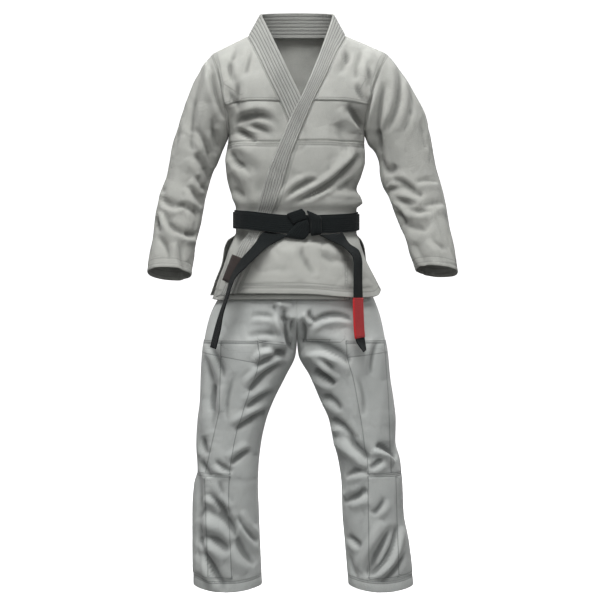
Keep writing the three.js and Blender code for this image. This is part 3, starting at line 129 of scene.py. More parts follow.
# %% [markdown]
# Pearl weave for a jacket is about 2.2 mm thick, trouser twill is thinner, and the lapel is a band filled to
# 6 mm. The tables hold half widths and depths of the worn jacket at each level, as a tailor would take them
# on a stand. It narrows under the belt and flares below it, where the vents open.

# %% Sizes of the cloth
JACKET_CLOTH, TROUSER_CLOTH, PATCH_CLOTH = 2.2, 1.6, 1.2
LAPEL_THICK, LAPEL_WIDTH, LAPEL_CHANNELS = 6.0, 51.0, 7
SEAM_GAP, PATCH_GAP = 0.3, 0.45
PIT, CHEST_SEAM, VENT_TOP, JACKET_HEM = -250.0, -272.0, -495.0, -640.0
WAISTBAND_BOTTOM = -470.0
NECK_HALF, NECK_DEPTH, NAPE, NECK_CURL = 118.0, 66.0, 4.0, 5
TIP_LEVEL, TIP_RIGHT, TIP_LEFT = -47.0, 212.0, 226.0
ARMHOLE_DEPTH, ARMHOLE_HOLLOW, ARMHOLE_CURL, ARMHOLE_BLEND = 84.0, 1.7, 6, 0.35
SQUARENESS, SLEEVE_SQUARENESS = 0.86, 0.9
CHEST_FALL, CHEST_ROUND, VENT_CURL = 3, 0.6, 5
BELT_SAG, SAG_TOP, SAG_RUN = 12.0, -400.0, 40.0

TORSO_ROWS = table(
    "z front_right back_right front_left back_left front back vent",
    (-250, 170, 170, 168, 168, 118, 112, 0),
    (-280, 175, 175, 169, 169, 120, 113, 0),
    (-312, 179, 179, 170, 170, 120, 112, 0),
    (-350, 176, 176, 161, 161, 117, 108, 0),
    (-385, 168, 168, 149, 149, 112, 104, 0),
    (-404, 161, 161, 160, 160, 112, 106, 0),
    (-418, 156, 156, 164, 164, 108, 102, 0),
    (-431, 153, 153, 149, 149, 98, 92, 0),
    (-494, 153, 153, 149, 149, 98, 92, 0),
    (-510, 160, 174, 155, 162, 106, 100, 5),
    (-530, 170, 183, 161, 170, 115, 110, 10),
    (-560, 181, 188, 171, 174, 121, 116, 14),
    (-605, 202, 206, 192, 184, 128, 122, 19),
    (-660, 219, 226, 220, 196, 134, 127, 24),
)
HEM_ROWS = table(
    "u over under back",
    (-1, -14, 17, 8),
    (-0.75, -6, 17, 7.5),
    (-0.4, 4, 17, 6.8),
    (0, 5, 17, 6),
    (0.45, 14, 17, 5.1),
    (0.75, 10, 17, 4.5),
    (1, -6, 17, 4),
)
LAPEL_ROWS = table(
    "z x",
    (0, 95), (-60, 66), (-120, 38), (-175, 11), (-229, -12), (-307, -43),
    (-414, -76), (-450, -92), (-495, -117), (-560, -143), (-640, -177),
)
HIDDEN_LAPEL_SHARE, HIDDEN_LAPEL_TOP, HIDDEN_LAPEL_RUN = 0.86, -200.0, 200.0
LAPEL_SEAM_SHARE, NECK_RUN, STAND_RUN = 0.56, 40.0, 105.0
TUCK_ROWS = table(
    "z tuck", (-60, 3), (-115, 10), (-200, 16), (-385, 16), (-430, 11), (-495, 11), (-550, 13), (-660, 10)
)
TUCK_RUN, TUCK_FADE, SIDE_TUCK, SHOULDER_HALF = 0.35, 30.0, 0.08, 190.0
UNDER_SIDE_SHARE, UNDER_SIDE_TOP, UNDER_SIDE_RUN = 0.06, -500.0, 90.0
PRESSED_TOP, PRESSED_BOTTOM, PRESSED_FADE = -432.0, -492.0, 30.0

print("jacket:", -JACKET_HEM, "mm long at", len(TORSO_ROWS["z"]), "levels")

# %% [markdown]
# Cloth that is worn creases where it bends, and it hangs in soft ridges elsewhere. Each main crease is
# given from one end to the other in front view, with a bow, a half width and a depth. A ridge of
# pushed-up cloth lies along one side of it, so the crease has a sharp and a soft flank.

# %% List the creases
CREASE_COLUMNS = "from_x from_z to_x to_z bow width depth lip"
FRONT_CREASES = table(
    CREASE_COLUMNS,
    (-158, -218, -34, -226, -22, 11, 12, -0.7),
    (-118, -222, -48, -254, -4, 11, 7, -0.6),
    (-155, -228, -104, -262, 0, 11, 6, -0.5),
    (-150, -100, -143, -208, 4, 13, 8, -0.6),
    (-150, -20, -172, -112, 3, 11, 4, 0.5),
    (-172, -292, -88, -356, -6, 14, 9, -0.6),
    (-168, -345, -118, -418, 5, 14, 6, -0.5),
    (140, -30, 108, -98, 3, 12, 5, 0.5),
    (163, -30, 146, -112, 3, 11, 6, -0.6),
    (128, -168, 164, -228, 4, 12, 8, 0.6),
    (100, -215, 124, -290, 0, 20, 6, 0.4),
    (105, -352, 158, -292, 6, 12, 7, -0.6),
    (-36, -432, 160, -300, 15, 9, 9, -0.7),
    (-40, -424, 54, -358, -12, 7, 6, -0.7),
    (-18, -428, 104, -372, -8, 6, 5, 0.6),
    (20, -426, 150, -352, 6, 6, 4, -0.6),
    (96, -424, 164, -418, -7, 7, 7, 0.7),
    (60, -430, 120, -404, -5, 6, 4, 0.6),
    (-160, -240, -104, -264, -6, 7, 6, -0.6),
    (-136, -226, -46, -256, -8, 7, 7, -0.6),
    (-172, -262, -140, -330, 10, 8, 5, 0.6),
    (-168, -312, -118, -350, -5, 7, 6, -0.6),
    (-164, -380, -132, -424, -4, 7, 5, 0.6),
    (-172, -126, -154, -176, 4, 7, 7, 0.6),
    (-176, -60, -164, -130, -4, 7, 5, -0.6),
    (-112, -30, -128, -96, 0, 8, 4, 0.6),
    (120, -24, 128, -70, 0, 8, 4, 0.6),
    (174, -66, 180, -128, -4, 7, 6, 0.6),
    (150, -118, 172, -166, 4, 7, 6, -0.6),
    (136, -186, 166, -246, -6, 8, 8, 0.6),
    (0, -508, 80, -520, -6, 8, 4, 0.6),
    (60, -540, 120, -566, 6, 9, 4, -0.5),
    (10, -515, 45, -598, 8, 15, 5, 0.6),
    (110, -500, 165, -615, 10, 14, 6, 0.6),
)
BACK_CREASES = table(
    CREASE_COLUMNS,
    (-150, -100, -118, -230, 8, 15, 8, 0.6),
    (152, -96, 112, -236, -8, 15, 8, -0.6),
    (-150, -292, -40, -372, -12, 15, 8, 0.5),
    (146, -300, 44, -350, 12, 15, 7, -0.5),
    (-20, -432, 60, -352, 8, 12, 7, 0.6),
    (-110, -428, -66, -372, 6, 11, 6, 0.6),
    (118, -430, 92, -378, -6, 11, 6, 0.6),
    (-60, -505, -92, -612, 5, 16, 6, 0.6),
    (56, -505, 82, -606, 5, 16, 6, 0.6),
)
print("creases in front and behind:", len(FRONT_CREASES["bow"]), len(BACK_CREASES["bow"]))

# %% [markdown]
# Worn cloth bends sharply inside a fold and rolls softly beside it, so a crease is a narrow trough with a
# wide ridge along one side. Between the creases, cloth that was washed and worn is uneven, which soft random
# hills show. Cloth near the camera looks larger, so a crease is laid where the camera sees it.

# %% Fold and rumple the cloth
HIDDEN_SHIFT, HIDDEN_SHARE = 34.0, 0.75
CREASE_BLUNT, LIP_AWAY, LIP_SPREAD, CREASE_EDGE, CREASE_GAIN = 0.6, 1.9, 1.2, 0.2, 1.3
NARROWEST, CREASE_TIP, CREASE_RUN = 8.0, 3, 0.4


def creased(creases, x, z, sharp=1.0):
    """How far each point of the front view is pushed out: minus a trough, plus a wider Gaussian ridge beside
    it, both fading towards the ends of the crease. The trough is a Gaussian with a share of a narrower,
    pointed curve in it. Sharp creases are narrower and a little deeper."""
    out = np.zeros(np.broadcast(x, z).shape)
    for x0, z0, x1, z1, bow, width, depth, lip in np.stack(list(creases.values()), axis=1):
        width = max(NARROWEST, width / sharp)
        length = math.hypot(x1 - x0, z1 - z0)
        along = ((x - x0) * (x1 - x0) + (z - z0) * (z1 - z0)) / length**2
        arch = np.clip(4 * along * (1 - along), 0, 1)
        off = ((x - x0) * (z1 - z0) - (z - z0) * (x1 - x0)) / length - bow * arch
        pointed = np.exp(-np.hypot(off, CREASE_TIP) / (CREASE_RUN * width))
        trough = np.exp(-((off / width) ** 2)) * (1 - CREASE_EDGE) + CREASE_EDGE * pointed
        ridge = abs(lip) * np.exp(-(((off - np.sign(lip) * LIP_AWAY * width) / (LIP_SPREAD * width)) ** 2))
        out += CREASE_GAIN * sharp**0.5 * depth * arch**CREASE_BLUNT * (ridge - trough)
    return out


def seen(points):
    """x and z as the camera sees them in the plane y = 0: nearer points spread from the middle of the
    view."""
    spread = VIEW_DISTANCE / (VIEW_DISTANCE + np.minimum(0, points[..., 1]) * MM)
    middle_x, middle_z = np.array(VIEW_MIDDLE) / MM
    return middle_x + (points[..., 0] - middle_x) * spread, middle_z + (points[..., 2] - middle_z) * spread


LATTICE, BEND, BEND_SIZE = 64, 14, 70
HILL_SIZE, HILL_HEIGHT = 62, 1.6
VALLEY_SIZE, VALLEY_RIM, VALLEY_DEPTH, VALLEY_SINK, VALLEY_SLANT = 44, 0.35, 5.0, 1.2, 0.7
WRINKLE_SIZE, WRINKLE_RIM, WRINKLE_DEPTH, WRINKLE_SINK = 21, 0.3, 2.2, 0.5


def rumple(x, y, size, seed):
    """Soft random hills of about the given size: a lattice of seeded random heights, joined by S-curves."""
    heights = np.random.default_rng(seed).uniform(-1, 1, (LATTICE, LATTICE))
    a, b = x / size, y / size
    i, j = np.floor(a).astype(int), np.floor(b).astype(int)
    s, t = smooth(a - i), smooth(b - j)
    corner = [heights[(i + di) % LATTICE, (j + dj) % LATTICE] for di in (0, 1) for dj in (0, 1)]
    return mix(mix(corner[0], corner[2], s), mix(corner[1], corner[3], s), t)


def worn(x, y, seed):
    """Small unevenness of cloth that has been worn: broad hills, and two finer sets of valleys that run
    where random hills cross zero. Their course is bent by more hills."""
    bend_x, bend_y = BEND * rumple(x, y, BEND_SIZE, seed + 3), BEND * rumple(x, y, BEND_SIZE, seed + 4)
    broad = rumple(x, y, HILL_SIZE, seed) * HILL_HEIGHT
    valley = np.abs(rumple(x + bend_x, VALLEY_SLANT * y + bend_y, VALLEY_SIZE, seed + 1))
    wrinkle = np.abs(rumple(x - bend_y, y + bend_x, WRINKLE_SIZE, seed + 2))
    valleys = np.minimum(VALLEY_RIM, valley) * VALLEY_DEPTH
    small = np.minimum(WRINKLE_RIM, wrinkle) * WRINKLE_DEPTH
    return broad + valleys - VALLEY_SINK + small - WRINKLE_SINK


across_chest, down_front = np.meshgrid(np.arange(-180, 181, 6.0), np.arange(-640, 0, 6.0))
print("deepest fold in front:", creased(FRONT_CREASES, across_chest, down_front).min().round(1), "mm")

# %% [markdown]
# The jacket's body is one surface of two parameters. u runs round each half from the wearer's right, -1, to
# the left, 1. v is millimetres below the armpit where it is negative, and above it the share of the way up
# to the shoulder line. Below the armpit each level is a squared oval, and above it the oval closes to the
# shoulder seam.

# %% The jacket's surface
TORSO = curves(TORSO_ROWS)
HEM = curves(HEM_ROWS, "u")
lapel_middle = curve(LAPEL_ROWS, "x")
tuck_at = curve(TUCK_ROWS, "tuck")


def across_of(u):
    """Share of the half width at u: the sine of u times a quarter turn, squared up."""
    return np.sign(u) * np.abs(np.sin(np.abs(u) * math.pi / 2)) ** SQUARENESS


def depth_of(u):
    """Share of the depth at u: the cosine of u times a quarter turn, squared up."""
    return np.maximum(0, np.cos(np.abs(u) * math.pi / 2)) ** SQUARENESS


def u_of(share):
    """u at a share of the half width, which undoes across_of."""
    size = np.minimum(1, np.abs(share)) ** (1 / SQUARENESS)
    return np.sign(share) * 2 * np.arcsin(size) / math.pi


def armhole_x(right, rise):
    """Half the width at a share of the rise from the armpit to the shoulder tip, on a hollow curve."""
    pit = np.where(right, TORSO["front_right"](PIT), TORSO["front_left"](PIT))
    return mix(pit, np.where(right, TIP_RIGHT, TIP_LEFT), rise**ARMHOLE_HOLLOW)


def shoulder_level(x):
    """Height of the shoulder line: level across the neck, then straight down to each tip."""
    tip = np.where(x < 0, TIP_RIGHT, TIP_LEFT)
    return TIP_LEVEL * np.maximum(0, np.abs(x) - NECK_HALF) / (tip - NECK_HALF)


def jacket_form(layer, u, v):
    """The surface without folds. Low: x is across(u) times the half width, y is depth(u) times the half
    depth. High: the oval's width follows the armhole and its depth falls to nothing at the shoulder."""
    u, v = np.broadcast_arrays(np.asarray(u, float), np.asarray(v, float))
    half, face = ("back", 1) if layer == "back" else ("front", -1)
    level = PIT + np.minimum(v, 0)
    wide = np.where(u < 0, TORSO[half + "_right"](level), TORSO[half + "_left"](level))
    hang = smooth((VENT_TOP - level) / (VENT_TOP - JACKET_HEM))
    sag = 0 if layer == "back" else BELT_SAG * depth_of(u) * smooth((SAG_TOP - level) / SAG_RUN) * (1 - hang)
    y = face * (TORSO["vent"](level) * np.abs(u) ** VENT_CURL + TORSO[half](level) * depth_of(u))
    low = np.stack([across_of(u) * wide, y, level - hang * HEM[layer](u) - sag], axis=-1)
    rise = np.clip(v, 0, 1)
    x = across_of(u) * armhole_x(u < 0, rise)
    near = mix(np.abs(u) ** ARMHOLE_CURL, 1, smooth(rise / ARMHOLE_BLEND))
    edge = near * ARMHOLE_DEPTH * 2 * np.sqrt(rise * (1 - rise))
    middle = TORSO[half](PIT) * (1 - rise**CHEST_FALL) ** CHEST_ROUND
    neck_arc = np.maximum(0, 1 - (x / NECK_HALF) ** 2)
    neck = (face > 0) * NECK_DEPTH * np.sqrt(neck_arc) * rise**NECK_CURL
    z = PIT + rise * (shoulder_level(x) + (face > 0) * NAPE * neck_arc - PIT)
    high = np.stack([x, face * (edge + (middle - edge) * depth_of(u) + neck), z], axis=-1)
    return np.where((v <= 0)[..., None], low, high)


def jacket_place(layer, x, z):
    """u and v of the point that lies at x and z in front view."""
    half = "back" if layer == "back" else "front"
    v_high = np.clip((z - PIT) / (shoulder_level(x) - PIT), 0, 1)
    u_high = u_of(x / armhole_x(x < 0, v_high))
    level = np.minimum(z, PIT)
    for _ in range(5):
        wide = np.where(x < 0, TORSO[half + "_right"](level), TORSO[half + "_left"](level))
        u_low = u_of(x / wide)
        level = level + np.minimum(z, PIT) - jacket_form(layer, u_low, level - PIT)[..., 2]
    return np.where(z > PIT, u_high, u_low), np.where(z > PIT, v_high, level - PIT)


chest = jacket_form("over", np.array([-1.0, 0.0, 1.0]), 0.0)
print("chest:", chest[2, 0] - chest[0, 0], "mm across and", -chest[1, 1], "mm deep in front")

# %% [markdown]
# The left front lies on top, so the right one dips to pass under it. The belt presses both flat, and the
# creases fade towards the side seams and the shoulders, where the panels are sewn together. Each front ends
# at the seam of its lapel, which is found by halving.


# %% Fold the jacket's surface
def tuck_under(u, z):
    """How far the right front dips to pass under the left one."""
    half_width = np.where(z > PIT, SHOULDER_HALF, TORSO["front_right"](z))
    edge = u_of((lapel_middle(z) - LAPEL_WIDTH / 2) / half_width)
    start = np.maximum(-1, edge - TUCK_RUN)
    share = smooth((u - start) / np.maximum(0.004, edge - start))
    return tuck_at(z) * np.maximum(share, SIDE_TUCK * smooth((VENT_TOP - z) / TUCK_FADE))


def unpressed(z):
    """0 where the belt presses the cloth flat, and 1 away from it."""
    return smooth(np.maximum(z - PRESSED_TOP, PRESSED_BOTTOM - z) / PRESSED_FADE)


CREASES_OF = {"over": FRONT_CREASES, "under": FRONT_CREASES, "back": BACK_CREASES}
SEED_OF = {"over": 11, "under": 23, "back": 37}
PROBE_SHARE, PROBE_MM, SIDE_FADE, TIP_FADE = 0.004, 2.0, 0.14, 0.12


def jacket_points(layer, u, v):
    """Points with their folds, and the directions out of the unfolded cloth there."""
    u, v = np.broadcast_arrays(np.asarray(u, float), np.asarray(v, float))
    step = PROBE_SHARE
    rise = np.where(v > 0, step, PROBE_MM)
    top = np.where(v > 0, np.minimum(1, v + rise), np.minimum(0, v + rise))
    across = jacket_form(layer, np.minimum(1, u + step), v) - jacket_form(layer, np.maximum(-1, u - step), v)
    up = jacket_form(layer, u, top) - jacket_form(layer, u, v - rise)
    out = unit(np.cross(across, up))
    if layer == "back":
        out = -out
    place = jacket_form(layer, u, v)
    x, z = place[..., 0], place[..., 2]
    inside = smooth((1 - np.abs(u)) / SIDE_FADE) * np.where(v > 0, smooth((1 - v) / TIP_FADE), 1)
    push = inside * unpressed(z) * (creased(CREASES_OF[layer], *seen(place)) + worn(x, z, SEED_OF[layer]))
    if layer == "under":
        tuck = tuck_under(u, z)
        push = push * (1 - tuck / tuck_at(z)) - tuck
    return place + out * push[..., None], out


def lapel_seam_x(layer, z):
    """Where a front is sewn to its lapel, at each level."""
    over = layer == "over"
    share = 1 if over else mix(1, HIDDEN_LAPEL_SHARE, smooth((HIDDEN_LAPEL_TOP - z) / HIDDEN_LAPEL_RUN))
    seam = lapel_middle(z) * share + LAPEL_WIDTH * LAPEL_SEAM_SHARE
    return (1 if over else -1) * np.minimum(seam, mix(NECK_HALF, seam, smooth(-z / NECK_RUN)))


def seam_u(layer, v):
    """u where the lapel's seam crosses each row, found by halving."""
    low, high = np.full(np.shape(v), -1.0), np.full(np.shape(v), 1.0)
    for _ in range(40):
        u = (low + high) / 2
        place = jacket_form(layer, u, v)
        beyond = place[..., 0] > lapel_seam_x(layer, np.minimum(0, place[..., 2]))
        low, high = np.where(beyond, low, u), np.where(beyond, u, high)
    return (low + high) / 2


print("the right front dips by", tuck_at(-300.0).round(1), "mm at the chest")

# %% [markdown]
# A shell needs an outer and an inner grid of points, joined round the rim, so that it is closed as real
# cloth is. Two UV maps go with it. One measures the cloth in metres, for the weave, and the other holds the
# distance to the nearest row of stitches and the place along it, so that the sewing follows the piece
# wherever it bends.


# %% Measure a grid of cloth
def columns_of(size, step, first=(), last=()):
    """Distances across a piece of each given size: close together at its edges and at rows of stitches, and
    even between. Returns one row of distances for each size."""
    size = np.atleast_1d(np.asarray(size, float))
    near = lambda rows: sorted({0.0, 1.0, 2.4} | {max(3.6, at + d) for at in rows for d in (-1.7, 0, 1.7)})
    head, tail = np.array(near(first)), np.array(near(last))[::-1]
    count = max(2, math.ceil((size.max() - head[-1] - tail[0]) / step))
    between = np.linspace(0, 1, count + 1)[1:-1]
    start, end = head[-1], size[:, None] - tail[0]
    middle = start + (end - start) * between
    return np.concatenate([np.tile(head, (len(size), 1)), middle, size[:, None] - tail], axis=1)


def lengths(points, axis):
    """Distance along each row or column of a grid, from its start."""
    step = np.linalg.norm(np.diff(points, axis=axis), axis=-1)
    total = np.cumsum(step, axis=axis)
    pad = [(1, 0) if a == axis else (0, 0) for a in range(2)]
    return np.pad(total, pad)


def directions(points, wraps=False):
    """Directions out of a grid: the way along its columns crossed with the way up its rows."""
    across = np.gradient(points, axis=1)
    if wraps:
        ring = points[:, :-1]
        around = (np.roll(ring, -1, axis=1) - np.roll(ring, 1, axis=1)) / 2
        across = np.concatenate([around, around[:, :1]], axis=1)
    return unit(np.cross(across, np.gradient(points, axis=0)))


def facing(points, out, x=0.0, y=0.0):
    """Turns the directions so that they point away from an upright line."""
    away = (points[..., 0] - x) * out[..., 0] + (points[..., 1] - y) * out[..., 1]
    return out if away.sum() > 0 else -out


print("columns across 30 mm of cloth:", columns_of(30, 5).round(1))

# %% [markdown]
# Rows of stitches run along the edges of a piece or are drawn across it, so a maker gives them as distances
# from an edge or as lines. Shade is painted into the colour of the hollows of the folds. A point is hollow
# when its neighbours at several distances stand above it along the way out.

# %% Find the sewing and the hollows
HOLLOW_REACH, HOLLOW_STEP, HOLLOW_GAIN, HOLLOW_BLURS, FAR_FROM_SEWING = (2, 4, 7), 5.0, 2.4, 2, 90.0


def nearest_stitch(points, rows):
    """Distance to the nearest row of stitches and the place along it. rows gives distances from the edges
    named first, last, bottom and top, in millimetres, and drawn ones from point to point in front view."""
    across, along = lengths(points, 1), lengths(points, 0)
    best = np.full(across.shape, FAR_FROM_SEWING)
    place = np.zeros(across.shape)
    edges = {
        "first": (across, along),
        "last": (across[:, -1:] - across, along),
        "bottom": (along, across),
        "top": (along[-1:] - along, across),
    }
    lines = [(away - at, run) for edge, (away, run) in edges.items() for at in rows.get(edge, ())]
    for (x0, z0), (x1, z1) in rows.get("drawn", ()):
        length = math.hypot(x1 - x0, z1 - z0)
        dx, dz = points[..., 0] - x0, points[..., 2] - z0
        run = (dx * (x1 - x0) + dz * (z1 - z0)) / length
        off = (dx * (z1 - z0) - dz * (x1 - x0)) / length
        past = np.maximum(0, np.maximum(-run, run - length))
        lines.append((np.where(past > 0, np.hypot(off, past), off), run))
    for off, run in lines:
        closer = np.abs(off) < np.abs(best)
        best, place = np.where(closer, off, best), np.where(closer, run, place)
    return best, place


def blurred(values, wraps):
    """Each value mixed with its four neighbours: half its own and an eighth of each of theirs."""
    tall = np.pad(values, ((1, 1), (0, 0)), mode="edge")
    if wraps:
        ring = values[:, [-2, *range(values.shape[1]), 1]]
    else:
        ring = np.pad(values, ((0, 0), (1, 1)), mode="edge")
    return values / 2 + (tall[2:] + tall[:-2] + ring[:, 2:] + ring[:, :-2]) / 8


def hollows(outer, inner, wraps=False):
    """How far each point lies below its neighbours along the way out: 0 on ridges, and 1 deep in a fold."""
    out = unit(outer - inner)
    total = np.zeros(outer.shape[:2])
    for k in HOLLOW_REACH:
        if wraps:
            ring = outer[:, :-1]
            sides = np.roll(ring, k, axis=1) + np.roll(ring, -k, axis=1)
            sides = np.concatenate([sides, sides[:, :1]], axis=1)
        else:
            wide = np.pad(outer, ((0, 0), (k, k), (0, 0)), mode="edge")
            sides = wide[:, : outer.shape[1]] + wide[:, 2 * k :]
        tall = np.pad(outer, ((k, k), (0, 0), (0, 0)), mode="edge")
        around = (sides + tall[: len(outer)] + tall[2 * k :]) / 4
        total += ((around - outer) * out).sum(axis=-1) / (k * HOLLOW_STEP)
    for _ in range(HOLLOW_BLURS):
        total = blurred(total, wraps)
    return np.clip(total * HOLLOW_GAIN, 0, 1)


print("a sink that counts as fully hollow:", round(HOLLOW_REACH[0] * HOLLOW_STEP / HOLLOW_GAIN, 1), "mm")

# %% [markdown]
# Each piece is one closed shell of four-sided faces: its outer grid, its inner grid turned over, and the
# rims that join the two. A tube wraps round, so its first column is its last one too. The shell takes the
# place of the solid with its name, which is hidden but stays in the scene. The shell takes the place of
# the solid with its name, which stays for collisions.

# %% Join two grids into a shell
# INSIDE_SHADE is painted shade given to the whole inner side of every shell.
INSIDE_SHADE, SHADOW_OFFSET = 0.2, 0.35
PIECES = {}


def make_shell(name, outer, inner, stitches, wraps=False):
    """Joins two matching grids round their rim into one closed mesh, with its UV maps in metres."""
    rows, columns = outer.shape[:2]
    around = columns - 1 if wraps else columns
    ids = np.arange(rows)[:, None] * around + np.arange(columns) % around
    back = ids + rows * around
    keys = np.arange(rows * columns).reshape(rows, columns)
    quad = lambda g, h: [
        (g[:-1, :-1], g[:-1, 1:], g[1:, 1:], g[1:, :-1]),
        (h[1:, :-1], h[1:, 1:], h[:-1, 1:], h[:-1, :-1]),
    ]
    rims = lambda g, h: [
        (g[0, 1:], g[0, :-1], h[0, :-1], h[0, 1:]),
        (g[-1, :-1], g[-1, 1:], h[-1, 1:], h[-1, :-1]),
        (g[:-1, 0], g[1:, 0], h[1:, 0], h[:-1, 0]),
        (g[1:, -1], g[:-1, -1], h[:-1, -1], h[1:, -1]),
    ][: 2 if wraps else 4]
    stack = lambda parts: np.concatenate([np.stack([p.ravel() for p in part], axis=1) for part in parts])
    faces = stack(quad(ids, back) + rims(ids, back))
    looks = stack(quad(keys, keys) + rims(keys, keys))
    points = np.concatenate([outer[:, :around].reshape(-1, 3), inner[:, :around].reshape(-1, 3)]) * MM
    a, b, c, d = (points[faces[:, k]] for k in range(4))
    if (a * (np.cross(b, c) + np.cross(c, d))).sum() < 0:
        faces, looks = faces[:, ::-1], looks[:, ::-1]
    mesh = bpy.data.meshes.new(name)
    mesh.vertices.add(len(points))
    mesh.vertices.foreach_set("co", points.ravel())
    mesh.loops.add(faces.size)
    mesh.loops.foreach_set("vertex_index", faces.ravel().astype(np.int32))
    mesh.polygons.add(len(faces))
    mesh.polygons.foreach_set("loop_start", np.arange(0, faces.size, 4, dtype=np.int32))
    mesh.polygons.foreach_set("use_smooth", np.ones(len(faces), bool))
    mesh.update()
    across, along = lengths(outer, 1), lengths(outer, 0)
    for title, pair in (("cloth", (across, along)), ("sewing", stitches)):
        layer = mesh.uv_layers.new(name=title)
        grid = np.stack([part.ravel() for part in pair], axis=1) * MM
        layer.data.foreach_set("uv", grid[looks.ravel()].astype(np.float32).ravel())
    # Painted shade: the hollows of the outer grid and a fixed amount on the inner grid darken the colour
    # later.
    depth = hollows(outer, inner, wraps)[:, :around]
    depth = np.concatenate([depth.ravel(), np.full(depth.size, INSIDE_SHADE)])
    mesh.attributes.new("hollow_shade", "FLOAT", "POINT").data.foreach_set("value", depth.astype(np.float32))
    piece = bpy.data.objects.new(name + "_cloth", mesh)
    bpy.context.collection.objects.link(piece)
    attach(piece, "root")
    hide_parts(name)
    piece.cycles.shadow_terminator_geometry_offset = SHADOW_OFFSET
    PIECES[name] = piece


print("shells replace the solids of", len(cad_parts), "pieces")

# %% [markdown]
# A machine stitch pulls thick cloth in, so each row is a groove with small puckers along it. A folded edge
# is rounded, so the cloth sinks a little over the last millimetres before it.

# %% Sew a piece and roll its edges
GROOVE, GROOVE_WIDTH, ROLL, ROLL_SHARE = 0.75, 1.5, 2.6, 0.42
PUCKER, PUCKER_STEP, PUCKER_DRIFT = 0.35, 9.0, 41.0
ALL_ROUND = ("first", "last", "bottom", "top")


def sewn_in(points, out, stitches, rolls, thickness):
    """Sinks the rows of stitches into the cloth as Gaussian grooves, puckers it along them, and rolls the
    named edges over."""
    off, place = stitches
    pucker = 1 + PUCKER * np.sin(place * 2 * math.pi / PUCKER_STEP + 3 * np.sin(place / PUCKER_DRIFT))
    push = -GROOVE * pucker * np.exp(-((off / GROOVE_WIDTH) ** 2))
    across, along = lengths(points, 1), lengths(points, 0)
    away = {"first": across, "last": across[:, -1:] - across, "bottom": along, "top": along[-1:] - along}
    for edge in rolls:
        push = push - ROLL_SHARE * thickness * (1 - smooth(away[edge] / ROLL)) ** 2
    return points + out * push[..., None]


def sewn_shell(name, points, out, stitches, cloth, lift=0.0, rolls=("bottom",), wraps=False):
    """One piece of cloth from a grid: lifted, sewn, rolled over at its edges and given its inner side."""
    points = points + out * lift
    sewing = nearest_stitch(points, stitches)
    outer = sewn_in(points, out, sewing, rolls, cloth)
    make_shell(name, outer, points - out * cloth, sewing, wraps)


print("a row of stitches sinks by up to", round(GROOVE * (1 + PUCKER), 2), "mm")

# %% [markdown]
# The fronts, the back and their reinforcements are all cut from the jacket's surface. Each row of a panel
# starts at the lapel's seam and ends at the side, and its columns lie at real distances across the cloth.

# %% Cut the panels of the jacket
SPACING, SEAM_HALF, SEAM_END = 5.0, 0.08, 0.05
NECK_MARGIN, UPRIGHT_FROM, UPRIGHT_RUN = 6, 0.93, 0.07
PANEL_SAMPLES, ARMHOLE_ROWS, TOP_ROW = 241, 62, 0.99999
HEM_STITCHES, SEAM_STITCHES = (14, 26), (5, 11)
UNDER_SIDE = lambda v: -1 + UNDER_SIDE_SHARE * smooth((UNDER_SIDE_TOP - PIT - v) / UNDER_SIDE_RUN)


def squared_up(layer, u, v, points, out):
    """Turns the cloth's directions level at the side seams and upright along the shoulders, as the seams
    meet."""
    out = out.copy()
    out[..., 1] *= smooth((1 - np.abs(u)) / SEAM_END)
    beside_neck = smooth((np.abs(points[..., 0]) - NECK_HALF + NECK_MARGIN) / (2 * NECK_MARGIN))
    upright = smooth((v - UPRIGHT_FROM) / UPRIGHT_RUN) * (beside_neck if layer == "back" else 1.0)
    return unit(mix(out, np.array([0.0, 0.0, 1.0]), np.broadcast_to(upright, v.shape)[..., None]))


def panel(layer, v, stitches, start, end):
    """Rows of a panel: u runs from the lapel's seam to the side, or right across the back."""
    if layer == "back":
        from_u, to_u = -np.ones_like(v), np.ones_like(v)
    else:
        from_u = seam_u(layer, v)
        to_u = np.ones_like(v) if layer == "over" else UNDER_SIDE(v)
    ease = (1 - np.cos(np.linspace(0, math.pi, PANEL_SAMPLES))) / 2
    dense_u = from_u[:, None] + (to_u - from_u)[:, None] * ease
    path = jacket_form(layer, dense_u, v[:, None] + 0 * dense_u)
    far = lengths(path, 1)
    first, last = stitches.get("first", ()), stitches.get("last", ())
    at = columns_of(far[:, -1] - start - end, SPACING, first, last) + start
    u = np.stack([np.interp(at[i], far[i], dense_u[i]) for i in range(len(v))])
    v = v[:, None] + 0 * u
    points, out = jacket_points(layer, u, v)
    return points, squared_up(layer, u, v, points, out)


LOWER_SPAN = CHEST_SEAM - JACKET_HEM - SEAM_HALF
LOWER_V = (JACKET_HEM + columns_of(LOWER_SPAN, SPACING, HEM_STITCHES, SEAM_STITCHES)[0]) - PIT
ARMHOLE_V = (1 - np.cos(np.linspace(0, math.pi, ARMHOLE_ROWS + 1))) / 2
ARMHOLE_V[-1] = TOP_ROW
UPPER_V = np.concatenate([np.linspace(CHEST_SEAM - PIT + SEAM_HALF, -2, 5), ARMHOLE_V[1:]])


def jacket_piece(name, layer, v, stitches, cloth=JACKET_CLOTH, start=SEAM_HALF, end=SEAM_HALF, **looks):
    """Cuts a panel from a layer of the jacket and sews it."""
    points, out = panel(layer, v, stitches, start, end)
    sewn_shell(name, points, out, stitches, cloth, **looks)


vent_patch = [((x, -560), (x, -636)) for x in (118, 124)]
lower = {"bottom": HEM_STITCHES, **dict.fromkeys(("top", "first", "last"), SEAM_STITCHES)}
upper = dict.fromkeys(("bottom", "first", "last"), (4,))
jacket_piece("front_left_lower", "over", LOWER_V, {**lower, "first": (3, 9), "drawn": vent_patch})
jacket_piece("front_left_upper", "over", UPPER_V, upper)
jacket_piece("front_right_lower", "under", LOWER_V, {**lower, "first": (4,)})
jacket_piece("front_right_upper", "under", UPPER_V, upper)
jacket_piece("back_lower", "back", LOWER_V, lower)
jacket_piece("back_upper", "back", UPPER_V, {"bottom": (4,), "top": (4,)})

